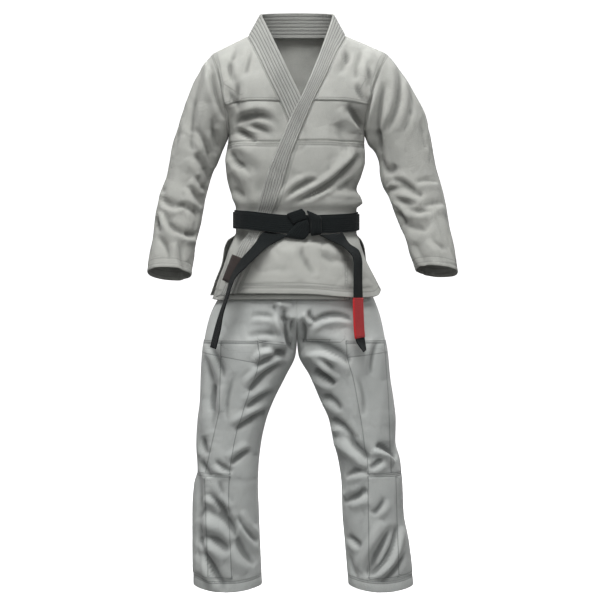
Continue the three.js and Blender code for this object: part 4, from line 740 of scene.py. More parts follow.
YOKE_FROM, BACK_YOKE_FROM = 0.309, 0.691
yoke = dict(lift=PATCH_GAP + PATCH_CLOTH, cloth=PATCH_CLOTH, rolls=ALL_ROUND)
yoke_rows = {"bottom": (3, 8.5), "first": (3,), "last": (3, 8.5)}
left_pit, right_pit = [((150, -152), (170, -118))], [((-180, -130), (-135, -160))]
for word, layer, drawn in (("left", "over", left_pit), ("right", "under", right_pit)):
    yoke_v = ARMHOLE_V[ARMHOLE_V > YOKE_FROM - 0.01]
    rows = {**yoke_rows, "drawn": drawn}
    jacket_piece("yoke_front_" + word, layer, yoke_v, rows, start=1.2, end=2.7, **yoke)
yoke_v = ARMHOLE_V[ARMHOLE_V > BACK_YOKE_FROM - 0.01]
jacket_piece("yoke_back", "back", yoke_v, {"bottom": (3, 8.5), "top": (3,)}, start=4.2, end=4.2, **yoke)
print("jacket panels:", len(PIECES))

# %% [markdown]
# A sleeve starts on the armhole and turns into an oval tube over its first rings. The oval's plane is set by
# the outer and inner edges of the sleeve in the photograph, and its depth is judged from sleeves of this
# cut.

# %% Measure the sleeves
SLEEVE_COLUMNS = "ring outer_x outer_z inner_x inner_z middle_y depth"
RIGHT_SLEEVE_ROWS = table(
    SLEEVE_COLUMNS,
    (0, -250, -90, -177, -264, 0, 82),
    (1, -268, -132, -186, -282, 2, 79),
    (2, -282, -178, -193, -300, 4, 76),
    (3, -297, -228, -201, -320, 5, 73),
    (4, -312, -274, -211, -344, 5, 70),
    (5, -320, -315, -221, -376, 4, 67),
    (6, -326, -352, -229, -408, 0, 65),
    (7, -342, -400, -236, -448, -8, 62),
    (8, -352, -450, -243, -490, -20, 59),
    (9, -357, -500, -252, -526, -34, 56),
    (10, -365, -550, -256, -562, -49, 54),
    (11, -369, -592, -260, -599, -62, 52),
)
LEFT_SLEEVE_ROWS = table(
    SLEEVE_COLUMNS,
    (0, 262, -88, 174, -262, 0, 82),
    (1, 283, -124, 184, -278, 2, 80),
    (2, 302, -160, 197, -297, 4, 77),
    (3, 322, -203, 205, -320, 5, 74),
    (4, 332, -245, 208, -346, 5, 71),
    (5, 340, -287, 216, -375, 4, 68),
    (6, 348, -330, 230, -400, 0, 65),
    (7, 361, -376, 242, -434, -8, 62),
    (8, 372, -425, 255, -472, -20, 59),
    (9, 379, -477, 268, -507, -34, 56),
    (10, 390, -535, 281, -548, -49, 54),
    (11, 397, -594, 294, -585, -62, 52),
)
RIGHT_SLEEVE_CREASES = table(
    CREASE_COLUMNS,
    (-232, -84, -256, -292, 12, 12, 11, -0.6),
    (-213, -62, -174, -218, 7, 9, 11, 0.6),
    (-250, -236, -212, -330, -6, 9, 8, 0.7),
    (-276, -96, -284, -196, 10, 8, 5, 0.6),
    (-300, -210, -312, -300, -8, 8, 4, -0.6),
    (-206, -210, -202, -300, 4, 7, 6, -0.6),
    (-250, -300, -216, -372, -6, 12, 9, 0.7),
    (-342, -402, -290, -440, 5, 10, 7, 0.7),
    (-346, -434, -334, -492, 6, 9, 6, -0.6),
    (-330, -452, -248, -500, 12, 9, 9, 0.7),
    (-334, -406, -272, -428, 5, 7, 6, 0.7),
    (-268, -378, -238, -430, -4, 8, 6, 0.6),
    (-352, -372, -322, -392, 3, 7, 5, 0.6),
    (-274, -498, -246, -500, 2, 7, 7, 0.6),
    (-346, -500, -310, -560, -8, 8, 5, -0.6),
    (-282, -516, -268, -600, 5, 9, 4, 0.6),
    (-248, -352, -222, -392, 4, 6, 7, 0.7),
    (-350, -420, -300, -462, 6, 6, 6, 0.7),
    (-296, -424, -244, -452, -5, 6, 6, -0.6),
    (-200, -240, -190, -290, 3, 6, 7, 0.6),
)
LEFT_SLEEVE_CREASES = table(
    CREASE_COLUMNS,
    (214, -125, 200, -296, 6, 9, 11, 0.7),
    (254, -84, 216, -250, -14, 9, 8, 0.7),
    (180, -106, 170, -214, 4, 8, 7, -0.6),
    (284, -116, 262, -250, -10, 9, 5, 0.6),
    (206, -292, 226, -352, 6, 9, 7, 0.6),
    (316, -196, 322, -290, 5, 9, 4, -0.6),
    (226, -352, 246, -330, 0, 13, 7, 0.5),
    (228, -384, 312, -404, -8, 11, 10, 0.7),
    (300, -434, 366, -418, -4, 10, 6, 0.6),
    (258, -470, 330, -480, 8, 12, 5, 0.6),
    (236, -396, 300, -424, 6, 7, 6, 0.7),
    (290, -372, 350, -366, -6, 8, 5, 0.6),
    (244, -440, 268, -476, -4, 7, 6, -0.6),
    (330, -500, 372, -536, 6, 9, 4, 0.6),
    (286, -520, 312, -576, -4, 9, 4, 0.5),
    (232, -360, 292, -392, -5, 6, 7, 0.7),
    (262, -430, 340, -440, 6, 6, 6, 0.7),
    (196, -244, 206, -300, -3, 6, 7, 0.6),
)
print("right cuff:", RIGHT_SLEEVE_ROWS["inner_x"][-1] - RIGHT_SLEEVE_ROWS["outer_x"][-1], "mm across")

# %% [markdown]
# Each ring of points mixes the armhole with the tube, so the sleeve meets the body along one shared curve
# and no gap can open there. A real sleeve is sewn flat to the body first, and then its long seam is closed.

# %% Sew in the sleeves
ARMHOLE_GAP, SLEEVE_LENGTH, SHORTEST_STEP = 0.1, 590.0, 4.0
BECOMES_ROWS = table("ring share", (-1, 0), (0, 0.478), (1, 0.794), (2, 0.953), (3, 0.996), (4, 1), (11, 1))
BECOMES = curve(BECOMES_ROWS, "share", "ring")
CUFF_STITCHES = (10, 23)


def sleeve_points(rows, creases, seed, right, ring, angle):
    """Points of a sleeve: the armhole mixed with centre - cos(a) reach + sin(a) depth, pushed out by
    creases."""
    side = -1 if right else 1
    read = curves(rows, "ring")
    ends = lambda r: (
        np.stack([read["outer_x"](r), read["middle_y"](r), read["outer_z"](r)], axis=-1),
        np.stack([read["inner_x"](r), read["middle_y"](r), read["inner_z"](r)], axis=-1),
    )
    outer, inner = ends(ring)
    centre, reach = (outer + inner) / 2, (outer - inner) / 2
    sewn = np.clip(ring, 0, rows["ring"][-1])
    along = sum(ends(sewn + 0.5)) - sum(ends(sewn - 0.5))
    front = unit(np.cross(reach, along))
    front *= -np.sign(front[..., 1:2])
    facing = np.sin(angle)
    squared = read["depth"](ring) * np.sign(facing) * np.abs(facing) ** SLEEVE_SQUARENESS
    tube = centre - reach * np.cos(angle)[..., None] + front * squared[..., None]
    v = (1 - np.cos(angle)) / 2
    u = np.full(angle.shape, float(side))
    hole = np.where((facing >= 0)[..., None], jacket_form("over", u, v), jacket_form("back", u, v))
    hole = hole + np.array([side * ARMHOLE_GAP, 0, 0])
    place = mix(hole, tube, BECOMES(ring)[..., None])
    x, y, z = place[..., 0], place[..., 1], place[..., 2]
    shown = smooth(facing * 2) * creased(creases, x, z)
    hidden = smooth(-facing * 2) * HIDDEN_SHARE * creased(creases, x, z + HIDDEN_SHIFT)
    small = worn(x + 1.3 * y, z - 0.4 * y, seed)
    return place + unit(place - centre) * ((shown + hidden + small) * smooth((ring + 1) / 0.8))[..., None]


def sleeve(name, rows, creases, seed, right):
    """Rings at even lengths along the middle line, then the sewn shell round them."""
    length = columns_of(SLEEVE_LENGTH, SPACING, (4,), CUFF_STITCHES)[0]
    coarse = np.linspace(-1, rows["ring"][-1], 61)
    read = curves(rows, "ring")
    middle = np.stack([read["outer_" + k](coarse) + read["inner_" + k](coarse) for k in "xz"])
    steps = np.hypot(*np.diff(middle / 2, axis=1))
    far = np.append(0, np.cumsum(np.maximum(steps, SHORTEST_STEP)))
    ring = np.interp(length / length[-1], far / far[-1], coarse)
    around = -np.linspace(0, 2 * math.pi, 2 * ARMHOLE_ROWS + 1) + math.pi / 2
    ring, angle = np.meshgrid(ring, around % (2 * math.pi), indexing="ij")
    points = sleeve_points(rows, creases, seed, right, ring, angle)
    points[:, -1] = points[:, 0]
    out = directions(points, wraps=True)
    away = points - points.mean(axis=1, keepdims=True)
    out = out if (away * out).sum() > 0 else -out
    square = points[0] - points[0].mean(axis=0)
    square[:, 0] = 0
    out[0] = unit(square)
    rows_of = {"bottom": (4,), "top": CUFF_STITCHES}
    sewn_shell(name, points, out, rows_of, JACKET_CLOTH, rolls=("top",), wraps=True)


sleeve("sleeve_right", RIGHT_SLEEVE_ROWS, RIGHT_SLEEVE_CREASES, 51, True)
sleeve("sleeve_left", LEFT_SLEEVE_ROWS, LEFT_SLEEVE_CREASES, 67, False)
print("pieces with the sleeves:", len(PIECES))

# %% [markdown]
# The lapel and collar are one band, with seven channels between rows of stitches. It runs up the left front,
# stands up round the neck, and goes down the right front. Its outer side swells between the rows of
# stitches.

# %% Lay the lapel and collar round the fronts
LAPEL_AHEAD, SHOULDER_EDGE, NECK_COLUMNS = 12.0, 3.0, 8
LAPEL_ROUND, CHANNEL_DEPTH, CHANNEL_CURL, PULLED_IN, PULL_WIDTH = 4.0, 0.9, 0.55, 0.45, 1.6
COLLAR_SIDE, COLLAR_RISE = (89.0, -4.0, 53.0), 12.0
LABEL_THICK, LABEL_LOW, LABEL_HIGH, LABEL_FROM, LABEL_TO, LABEL_HEM = 1.0, -629, -562, 5 / 14, 11.6 / 14, 1.6


def lapel_rows(layer, v, share, square=1):
    """Stations of the band on a front, which run from its seam across the cloth and turn upright at the
    neck. square is 1 for the band's own rows, and -1 lays a label's rows at right angles to the seam."""
    side = 1 if layer == "over" else -1
    u = seam_u(layer, v)
    seam = jacket_form(layer, u, v)
    below, above = seam[:, 2] - LAPEL_AHEAD, np.minimum(0, seam[:, 2] + LAPEL_AHEAD)
    slope = (lapel_seam_x(layer, below) - lapel_seam_x(layer, above)) / (2 * LAPEL_AHEAD)
    across = unit(np.stack([np.full(len(v), -float(side)), slope * side], axis=1))
    x = seam[:, 0:1] + across[:, 0:1] * LAPEL_WIDTH * share
    z = seam[:, 2:3] + across[:, 1:2] * LAPEL_WIDTH * share * side * square
    on, _ = jacket_points(layer, *jacket_place(layer, x, np.minimum(z, -SHOULDER_EDGE)))
    on[..., 2] += np.maximum(0, z + SHOULDER_EDGE)
    start, _ = jacket_points(layer, u, v)
    top = np.array([side * COLLAR_SIDE[0], COLLAR_SIDE[1], COLLAR_SIDE[2]])
    upright = mix(start[:, None], top, np.broadcast_to(share, x.shape)[..., None])
    return mix(on, upright, smooth(1 + seam[:, 2] / STAND_RUN)[:, None, None])


def neck_rows(i, share):
    """Stations of the band round the neck, from its seam on the back up to an arc that leans in."""
    from_u, to_u = (u_of(NECK_HALF / armhole_x(np.array(right), 1.0)) for right in (True, False))
    seam, _ = jacket_points("back", mix(-from_u, to_u, i / NECK_COLUMNS), np.ones_like(i))
    turn = np.arccos(np.clip(seam[:, 0] / NECK_HALF, -1, 1))
    upper = np.stack(
        [
            COLLAR_SIDE[0] * np.cos(turn),
            COLLAR_SIDE[1] + (NECK_DEPTH - COLLAR_RISE) * np.sin(turn),
            COLLAR_SIDE[2] + COLLAR_RISE * np.sin(turn),
        ],
        axis=1,
    )
    return mix(seam[:, None], upper[:, None], np.broadcast_to(share, (len(i), share.shape[1]))[..., None])


band_v = np.concatenate([LOWER_V, UPPER_V[1:]])
band_share = np.linspace(0, 1, 6 * LAPEL_CHANNELS + 1)[None, :]
around_neck = np.linspace(NECK_COLUMNS - 0.15, 0.15, 58)
over_band = lapel_rows("over", band_v, band_share)
under_band = lapel_rows("under", band_v, band_share)
band = np.concatenate([over_band, neck_rows(around_neck, band_share), under_band[::-1]])
band_out = facing(band, directions(band), 0, -10)
channel_at = np.clip(np.round(band_share * LAPEL_CHANNELS), 1, LAPEL_CHANNELS - 1)
off_row = (band_share * LAPEL_CHANNELS - channel_at) * LAPEL_WIDTH / LAPEL_CHANNELS
band_sewing = (np.broadcast_to(off_row, band.shape[:2]), lengths(band, 0))


def band_height(share):
    """Height of the band's outer side: full between its rounded edges, and lower at each row of stitches."""
    edge = np.minimum(share, 1 - share) * LAPEL_WIDTH
    rounded = np.sqrt(1 - (1 - np.minimum(1, 0.3 + edge / LAPEL_ROUND)) ** 2)
    channel = 1 - np.abs(np.sin(math.pi * LAPEL_CHANNELS * share)) ** CHANNEL_CURL
    inside = smooth(edge / LAPEL_ROUND)
    return LAPEL_THICK * rounded - CHANNEL_DEPTH * channel * inside - JACKET_CLOTH


band_front = band + band_out * band_height(band_share)[..., None]
pulled = PULLED_IN * np.exp(-((band_sewing[0] / PULL_WIDTH) ** 2))
band_back = band - band_out * (JACKET_CLOTH - pulled)[..., None]
make_shell("lapel_and_collar", band_front, band_back, band_sewing)

label_rows = (over_band[:, 0, 2] > LABEL_LOW) & (over_band[:, 0, 2] < LABEL_HIGH)
label = lapel_rows("over", band_v[label_rows], np.linspace(LABEL_FROM, LABEL_TO, 21)[None, :], square=-1)
label_out = facing(label, directions(label))
label_back = label + label_out * (LAPEL_THICK - JACKET_CLOTH + SEAM_GAP)
label_front = label + label_out * (LAPEL_THICK - JACKET_CLOTH + SEAM_GAP + LABEL_THICK)
label_sewing = nearest_stitch(label, dict.fromkeys(ALL_ROUND, (LABEL_HEM,)))
make_shell("lapel_patch", label_front, label_back, label_sewing)
print("lapel:", len(band), "stations,", round(lengths(band, 0)[-1, 0]), "mm along its seam")

# %% [markdown]
# A leg is two half tubes. Below the crotch each is a squared half oval, and above the fork it opens into a
# quarter of the hips. Patches reinforce the outer part of the thigh, the knee and the shin, as the dark
# sewing there shows.

# %% Measure the legs
CROTCH, FORK, THIGH_SEAM, KNEE_SEAM, TROUSER_HEM = -790.0, -700.0, -757.0, -1090.0, -1368.0
LEG_COLUMNS = "z outer inner front back seam"
RIGHT_LEG_ROWS = table(
    LEG_COLUMNS,
    (-470, 139, 0, 78, 87, 0.4),
    (-500, 138, 0, 78, 86, 0.4),
    (-530, 147, 0, 88, 96, 0.4),
    (-570, 158, 0, 96, 106, 0.4),
    (-610, 170, 0, 101, 109, 0.4),
    (-650, 194, 0, 106, 112, 0.4),
    (-700, 218, 0, 113, 114, 0.4),
    (-757, 231, 0, 112, 110, 0.4),
    (-795, 236, 3, 108, 106, 0.37),
    (-850, 239, 28, 103, 101, 0.35),
    (-910, 241, 58, 97, 96, 0.35),
    (-960, 247, 77, 93, 92, 0.36),
    (-1020, 250, 90, 90, 88, 0.39),
    (-1080, 247, 96, 87, 84, 0.43),
    (-1120, 256, 97, 83, 82, 0.42),
    (-1180, 260, 95, 79, 79, 0.42),
    (-1260, 260, 92, 74, 76, 0.41),
    (-1368, 259, 87, 70, 72, 0.4),
)
LEFT_LEG_ROWS = table(
    LEG_COLUMNS,
    (-470, 136, 0, 78, 87, 0.52),
    (-500, 135, 0, 78, 86, 0.52),
    (-530, 143, 0, 88, 96, 0.52),
    (-570, 154, 0, 96, 106, 0.52),
    (-610, 166, 0, 101, 109, 0.52),
    (-650, 189, 0, 106, 112, 0.52),
    (-700, 208, 0, 113, 114, 0.52),
    (-757, 220, 0, 112, 110, 0.53),
    (-795, 226, 3, 108, 106, 0.52),
    (-850, 231, 32, 103, 101, 0.51),
    (-910, 240, 58, 97, 96, 0.48),
    (-960, 245, 80, 93, 92, 0.45),
    (-1010, 244, 90, 90, 88, 0.46),
    (-1060, 256, 103, 88, 85, 0.44),
    (-1120, 262, 111, 84, 82, 0.4),
    (-1190, 265, 113, 79, 79, 0.39),
    (-1260, 278, 119, 75, 76, 0.35),
    (-1368, 291, 128, 70, 72, 0.28),
)
RIGHT_LEG_CREASES = table(
    CREASE_COLUMNS,
    (-19, -784, -104, -830, 4, 12, 10, 0.7),
    (-30, -820, -120, -890, 10, 12, 10, 0.7),
    (-54, -888, -126, -930, 3, 11, 8, 0.6),
    (-66, -936, -158, -986, 3, 11, 9, 0.6),
    (-228, -800, -214, -990, -10, 15, 7, 0.5),
    (-112, -1034, -168, -1072, 3, 10, 7, 0.6),
    (-206, -870, -212, -940, 4, 12, 6, -0.6),
    (-234, -1000, -224, -1048, 4, 12, 8, 0.6),
    (-238, -1180, -146, -1232, -10, 20, 10, 0.7),
    (-234, -1242, -166, -1280, -6, 16, 9, 0.7),
    (-238, -1284, -180, -1366, -2, 14, 8, 0.7),
    (-154, -1252, -104, -1318, 4, 15, 8, 0.7),
    (-209, -1112, -95, -1292, 4, 11, -6, 0.6),
    (-246, -1096, -244, -1330, -3, 15, 8, -0.5),
    (-196, -1112, -172, -1196, 3, 10, 6, 0.6),
    (-128, -752, -28, -752, -8, 9, 3, 0.6),
    (-34, -674, -9, -790, 5, 12, 14, 0.5),
    (-60, -672, -26, -720, 6, 7, 5, -0.6),
    (-58, -664, -14, -678, 3, 9, -5, 0.3),
    (-13, -708, -5, -752, 0, 10, 10, 0.2),
    (-92, -776, -20, -800, -5, 6, 6, 0.7),
    (-118, -700, -50, -706, -6, 8, 4, 0.6),
    (-230, -760, -180, -860, -8, 10, 5, 0.6),
    (-156, -842, -176, -960, 6, 9, 4, 0.6),
    (-204, -1062, -158, -1090, 3, 8, 6, 0.6),
    (-240, -1060, -214, -1104, 0, 8, 6, 0.6),
    (-228, -1142, -184, -1180, -5, 9, 5, 0.6),
    (-150, -1196, -96, -1264, 5, 8, 6, -0.6),
    (-204, -1160, -170, -1190, 4, 9, 5, -0.6),
    (-244, -1250, -200, -1356, -5, 9, 6, 0.6),
)
LEFT_LEG_CREASES = table(
    CREASE_COLUMNS,
    (18, -770, 136, -818, -16, 15, 10, 0.7),
    (38, -836, 94, -872, -3, 12, 8, 0.7),
    (66, -894, 112, -936, -3, 11, 7, 0.7),
    (88, -954, 148, -1012, -3, 11, 8, 0.7),
    (100, -990, 188, -1066, -4, 14, 11, 0.7),
    (196, -1022, 250, -1052, -8, 11, 8, 0.7),
    (178, -1080, 214, -1054, 3, 10, 6, 0.6),
    (122, -1150, 176, -1134, 3, 14, 8, 0.6),
    (238, -1222, 174, -1342, 3, 15, 9, 0.7),
    (126, -1248, 162, -1270, 0, 10, 6, 0.6),
    (38, -716, 138, -706, -14, 11, 9, 0.7),
    (30, -684, 46, -716, 5, 7, 8, 0.6),
    (10, -706, 6, -770, -2, 7, 7, 0.5),
    (22, -788, 108, -800, -6, 6, 6, 0.7),
    (16, -700, 12, -776, -4, 8, 7, 0.6),
    (42, -798, 92, -830, -5, 8, 6, 0.7),
    (44, -826, 96, -870, 5, 8, 6, -0.6),
    (204, -760, 186, -850, 7, 10, 5, 0.6),
    (150, -850, 166, -950, -6, 9, 4, 0.6),
    (198, -1026, 248, -1058, -6, 8, 7, 0.6),
    (120, -1100, 176, -1086, -5, 8, 5, 0.6),
    (112, -1160, 162, -1146, 4, 9, 6, -0.6),
    (188, -1192, 218, -1152, 5, 8, 5, 0.6),
    (184, -1340, 250, -1218, 14, 9, 9, 0.7),
    (206, -1352, 272, -1286, 8, 9, 5, -0.6),
    (130, -1292, 152, -1352, 3, 9, 4, 0.6),
)
print("right hem:", RIGHT_LEG_ROWS["outer"][-1] - RIGHT_LEG_ROWS["inner"][-1], "mm across")

# %% [markdown]
# The front and the back half of a leg use the same columns of measures and meet at the side and the inner
# seam. Real twill is cut flat, sewn along both seams and hemmed, and its creases come from the wearer. Here
# the measured creases push the cloth in and out, and they fade at the seams so that the halves still meet.

# %% Cut the trousers
LEG_SPACING, LEG_SAMPLES, LEG_SHARP, LEG_WORN = 4.3, 1601, 1.2, 0.8
LEG_FADE, INNER_FADE, HIP_TOP, HIP_FADE, EDGE_FADE = 0.09, 0.045, -500.0, 30.0, 0.02
HEM_DROP, HEM_RISE, LEG_EDGE = 12.0, 0.4, 0.02


def leg_form(leg, side, face, share, z):
    """The unfolded leg: x mixes inner and outer, y = depth (1 - |2s - 1|^b)^(1/b), and b = 2 /
    squareness."""
    bend = 2 / SQUARENESS
    outer, inner = leg["outer"](z), np.maximum(0, leg["inner"](z))
    depth = leg["front"](z) if face < 0 else leg["back"](z)
    arch = lambda value: np.maximum(0, 1 - np.abs(value) ** bend) ** (1 / bend)
    joined = smooth((z - CROTCH) / (FORK - CROTCH))
    x = mix(mix(inner, outer, share), outer * share, joined) + SEAM_HALF
    y = mix(depth * arch(2 * share - 1), depth * arch(share), joined)
    return np.stack([side * x, face * y, z + 0 * x], axis=-1)


def leg_points(leg, side, face, creases, seed, share, z):
    """Points with their folds and the directions out there. Beside a seam the directions lie level with it,
    so that the halves meet edge to edge, and the hem drops in front by 1 - (2 share - 1)^2."""
    step, rise = PROBE_SHARE, PROBE_MM
    across = leg_form(leg, side, face, np.minimum(1, share + step), z)
    across = across - leg_form(leg, side, face, np.maximum(0, share - step), z)
    up = leg_form(leg, side, face, share, z + rise) - leg_form(leg, side, face, share, z - rise)
    out = np.cross(across, up)
    out *= np.where(out[..., 1:2] * face < 0, -1, 1)
    out = unit(out)
    place = leg_form(leg, side, face, share, z)
    inside = smooth(share / INNER_FADE) * smooth((1 - share) / LEG_FADE) * smooth((HIP_TOP - z) / HIP_FADE)
    shift, share_kept = (0, 1) if face < 0 else (HIDDEN_SHIFT, HIDDEN_SHARE)
    seen_x, seen_z = seen(place)
    folds = share_kept * creased(creases, seen_x, seen_z + shift, LEG_SHARP)
    small = worn(place[..., 0], z, seed) * LEG_WORN
    drop = HEM_DROP * (1 - (2 * share - 1) ** 2) * (1 if face < 0 else -HEM_RISE)
    low = smooth((KNEE_SEAM - z) / (KNEE_SEAM - TROUSER_HEM))
    edge = smooth(np.minimum(share, 1 - share) / EDGE_FADE)
    out[..., 1] *= np.where((share > 0.5) | (z < CROTCH), edge, 1)
    out[..., 0] *= np.where((share < 0.5) & (z >= CROTCH), edge, 1)
    out = unit(out)
    points = place + out * (inside * (folds + small))[..., None]
    points[..., 2] -= drop * low
    return points, out


def leg_grid(half, levels, stitches, from_seam=False, start=LEG_EDGE, end=LEG_EDGE):
    """Columns at real distances across a half leg, from its inner edge or from the patch seam to its
    side."""
    leg, side, face = half[:3]
    dense = (1 - np.cos(np.linspace(0, math.pi, LEG_SAMPLES)))[None, :] / 2 + 0 * levels[:, None]
    if from_seam:
        seam = leg["seam"](levels)[:, None]
        dense = seam + (1 - seam) * dense
    far = lengths(leg_form(leg, side, face, dense, levels[:, None] + 0 * dense), 1)
    first, last = stitches.get("first", ()), stitches.get("last", ())
    at = columns_of(far[:, -1] - start - end, LEG_SPACING, first, last) + start
    share = np.stack([np.interp(at[i], far[i], dense[i]) for i in range(len(levels))])
    return leg_points(*half, share, levels[:, None] + 0 * share)


def leg_piece(name, half, levels, stitches, cloth=TROUSER_CLOTH, lift=0.0, rolls=("bottom",), **edges):
    """Cuts a half leg or one of its patches and sews it."""
    points, out = leg_grid(half, levels, stitches, **edges)
    sewn_shell(name, points, out, stitches, cloth, lift, rolls)


LEG_TOP = WAISTBAND_BOTTOM - SEAM_GAP
THIGH_LINES = {"right": (-96, -758, -14, -766), "left": (14, -757, 118, -757)}
PATCH_LINES = {
    "right": [((-232, -790), (-92, -815)), ((-186, -760), (-190, -930)), ((-190, -930), (-226, -1085))],
    "left": [((98, -803), (228, -788)), ((216, -760), (226, -900)), ((226, -900), (232, -1085))],
}
SHIN_LINES = {"right": [((-228, -1095), (-218, -1362))], "left": [((244, -1095), (252, -1362))]}
LEG_HEM = (22, 27)
leg_levels = TROUSER_HEM + columns_of(LEG_TOP - TROUSER_HEM, LEG_SPACING, LEG_HEM)[0]
patch_at = lambda low, high: low + 1 + columns_of(high - low - 2, LEG_SPACING, (3,), (3, 9))[0]
thigh_levels = patch_at(KNEE_SEAM, THIGH_SEAM)
shin_levels = patch_at(mix(KNEE_SEAM, TROUSER_HEM, 8 / 9), KNEE_SEAM)
for word, side, rows, creases, seed in (
    ("left", 1, LEFT_LEG_ROWS, LEFT_LEG_CREASES, 83),
    ("right", -1, RIGHT_LEG_ROWS, RIGHT_LEG_CREASES, 97),
):
    leg = curves(rows)
    front, back = (leg, side, -1, creases, seed), (leg, side, 1, creases, seed + 5)
    hem = {"bottom": LEG_HEM, "last": (4,)}
    x0, z0, x1, z1 = THIGH_LINES[word]
    across = [((x0, z0 - d), (x1, z1 - d)) for d in (0, 6)]
    leg_piece("leg_front_" + word, front, leg_levels, {**hem, "drawn": across})
    leg_piece("leg_back_" + word, back, leg_levels, hem)
    patch = dict(lift=PATCH_GAP + PATCH_CLOTH, cloth=PATCH_CLOTH, rolls=ALL_ROUND)
    patch.update(from_seam=True, start=0.5, end=3)
    sewn = dict.fromkeys(ALL_ROUND, (3,))
    thigh = {**sewn, "top": (3, 9), "drawn": PATCH_LINES[word]}
    leg_piece("thigh_patch_" + word, front, thigh_levels, thigh, **patch)
    leg_piece("shin_patch_" + word, front, shin_levels, {**sewn, "drawn": SHIN_LINES[word]}, **patch)
print("pieces with the legs:", len(PIECES))

# %% [markdown]
# The waistband is one ring of folded twill that lies inside the jacket. A real one is gathered on a cord.
# Its ring follows the jacket's waist a little further in, and further still where the right front dips under
# the left.

# %% Close the waistband
RING_STEPS, WAIST_HALF, WAIST_DEEP = 260, 150.0, 95.0
BAND_CLEAR, BAND_TUCK, BAND_TOP = 0.8, 14.5, -431.0


def waist_ring(level):
    """Points round the waist at one level, and the directions out: (x / half width, y / half depth)."""
    turn = np.linspace(0, 4, RING_STEPS + 1)
    behind = turn < 2
    u = np.where(behind, 1 - turn, turn - 3)
    v = np.full(u.shape, level - PIT)
    place = np.where(behind[:, None], jacket_form("back", u, v), jacket_form("over", u, v))
    out = np.stack([place[:, 0] / WAIST_HALF, place[:, 1] / WAIST_DEEP, 0 * u], axis=1)
    return u, behind, place, unit(out)


rings = []
for level in np.linspace(WAISTBAND_BOTTOM, BAND_TOP, 12):
    u, behind, place, out = waist_ring(level)
    place[:, 2] = level
    forward = np.where(behind, 0, smooth((1 - np.abs(u)) / TUCK_RUN))
    rings.append(place - out * (JACKET_CLOTH + mix(BAND_CLEAR, BAND_TUCK, forward))[:, None])
waistband = np.stack(rings)
waist_out = np.broadcast_to(out, waistband.shape)
waist_sewing = nearest_stitch(waistband, {"bottom": (4, 8), "top": (4,)})
make_shell("waistband", waistband, waistband - waist_out * TROUSER_CLOTH, waist_sewing, wraps=True)
print("round the waist:", round(lengths(waistband, 1)[-1, -1]), "mm")

# %% [markdown]
# The belt is a long strap of cotton, stitched in eight channels. It goes round twice, the second turn on the
# first, so each turn is a ring pushed out from the same waist line and raised where it crosses the lapel.
# Its thickness is drawn in at each row of stitches and rounded at the edges.

# %% Wrap the belt twice
BELT_THICK, BELT_WIDTH, BELT_CHANNELS, BELT_LEVEL = 3.2, 40.0, 8, -450.0
BELT_ROWS = table(
    "u front back", (-1, -457, -458), (-0.5, -464, -458), (0, -475, -459), (0.5, -471, -460), (1, -462, -462)
)
OVER_LAPEL = (-150, -40, 30, 4.4)
BELT_EDGE, CHANNEL_SINK, CHANNEL_WIDTH, THIN_EDGE = 1.8, 0.5, 1.1, 0.25


def strap_profile(share):
    """Half thickness across a strap: rounded at its edges, and drawn in at each row of stitches."""
    edge = np.minimum(share, 1 - share) * BELT_WIDTH
    rounded = np.sqrt(1 - (1 - np.minimum(1, THIN_EDGE + edge / BELT_EDGE)) ** 2)
    off = ((share * BELT_CHANNELS) % 1 - 0.5) * BELT_WIDTH / BELT_CHANNELS
    return rounded * BELT_THICK / 2 - CHANNEL_SINK * np.exp(-((off / CHANNEL_WIDTH) ** 2))


strap_share = np.linspace(0, 1, 6 * BELT_CHANNELS + 1)
STRAP_STITCHES = tuple(BELT_WIDTH * (k + 0.5) / BELT_CHANNELS for k in range(BELT_CHANNELS))
middle_of = curves(BELT_ROWS, "u")
for name, lift, shift in (("belt_inner_wrap", 0.8, 2.5), ("belt_outer_wrap", 4.3, -2.5)):
    u, behind, place, out = waist_ring(BELT_LEVEL)
    start, stop, run, height = OVER_LAPEL
    crossing = np.where(behind, 0, smooth((place[:, 0] - start) / run) * smooth((stop - place[:, 0]) / run))
    level = np.where(behind, middle_of["back"](u), middle_of["front"](u)) + shift
    core = place + out * (lift + height * crossing + BELT_THICK / 2)[:, None]
    core = np.broadcast_to(core, (len(strap_share),) + core.shape).copy()
    core[..., 2] = level + (strap_share[:, None] - 0.5) * BELT_WIDTH
    thick = strap_profile(strap_share)[:, None, None]
    sewing = nearest_stitch(core, {"bottom": STRAP_STITCHES})
    make_shell(name, core + out * thick, core - out * thick, sewing, wraps=True)
    print(name, round(lengths(core, 1)[0, -1]), "mm round")

# %% [markdown]
# The belt's two free ends leave the knot, twist, and hang down in front. A table gives the middle of a tail
# at each station, and half its width as a vector, which also holds the twist. Its face looks along the cross
# product of that vector with the way down the tail. The red bar is a sleeve of cotton closed round the left
# tail, a squared ring whose wall stands a little off the strap.

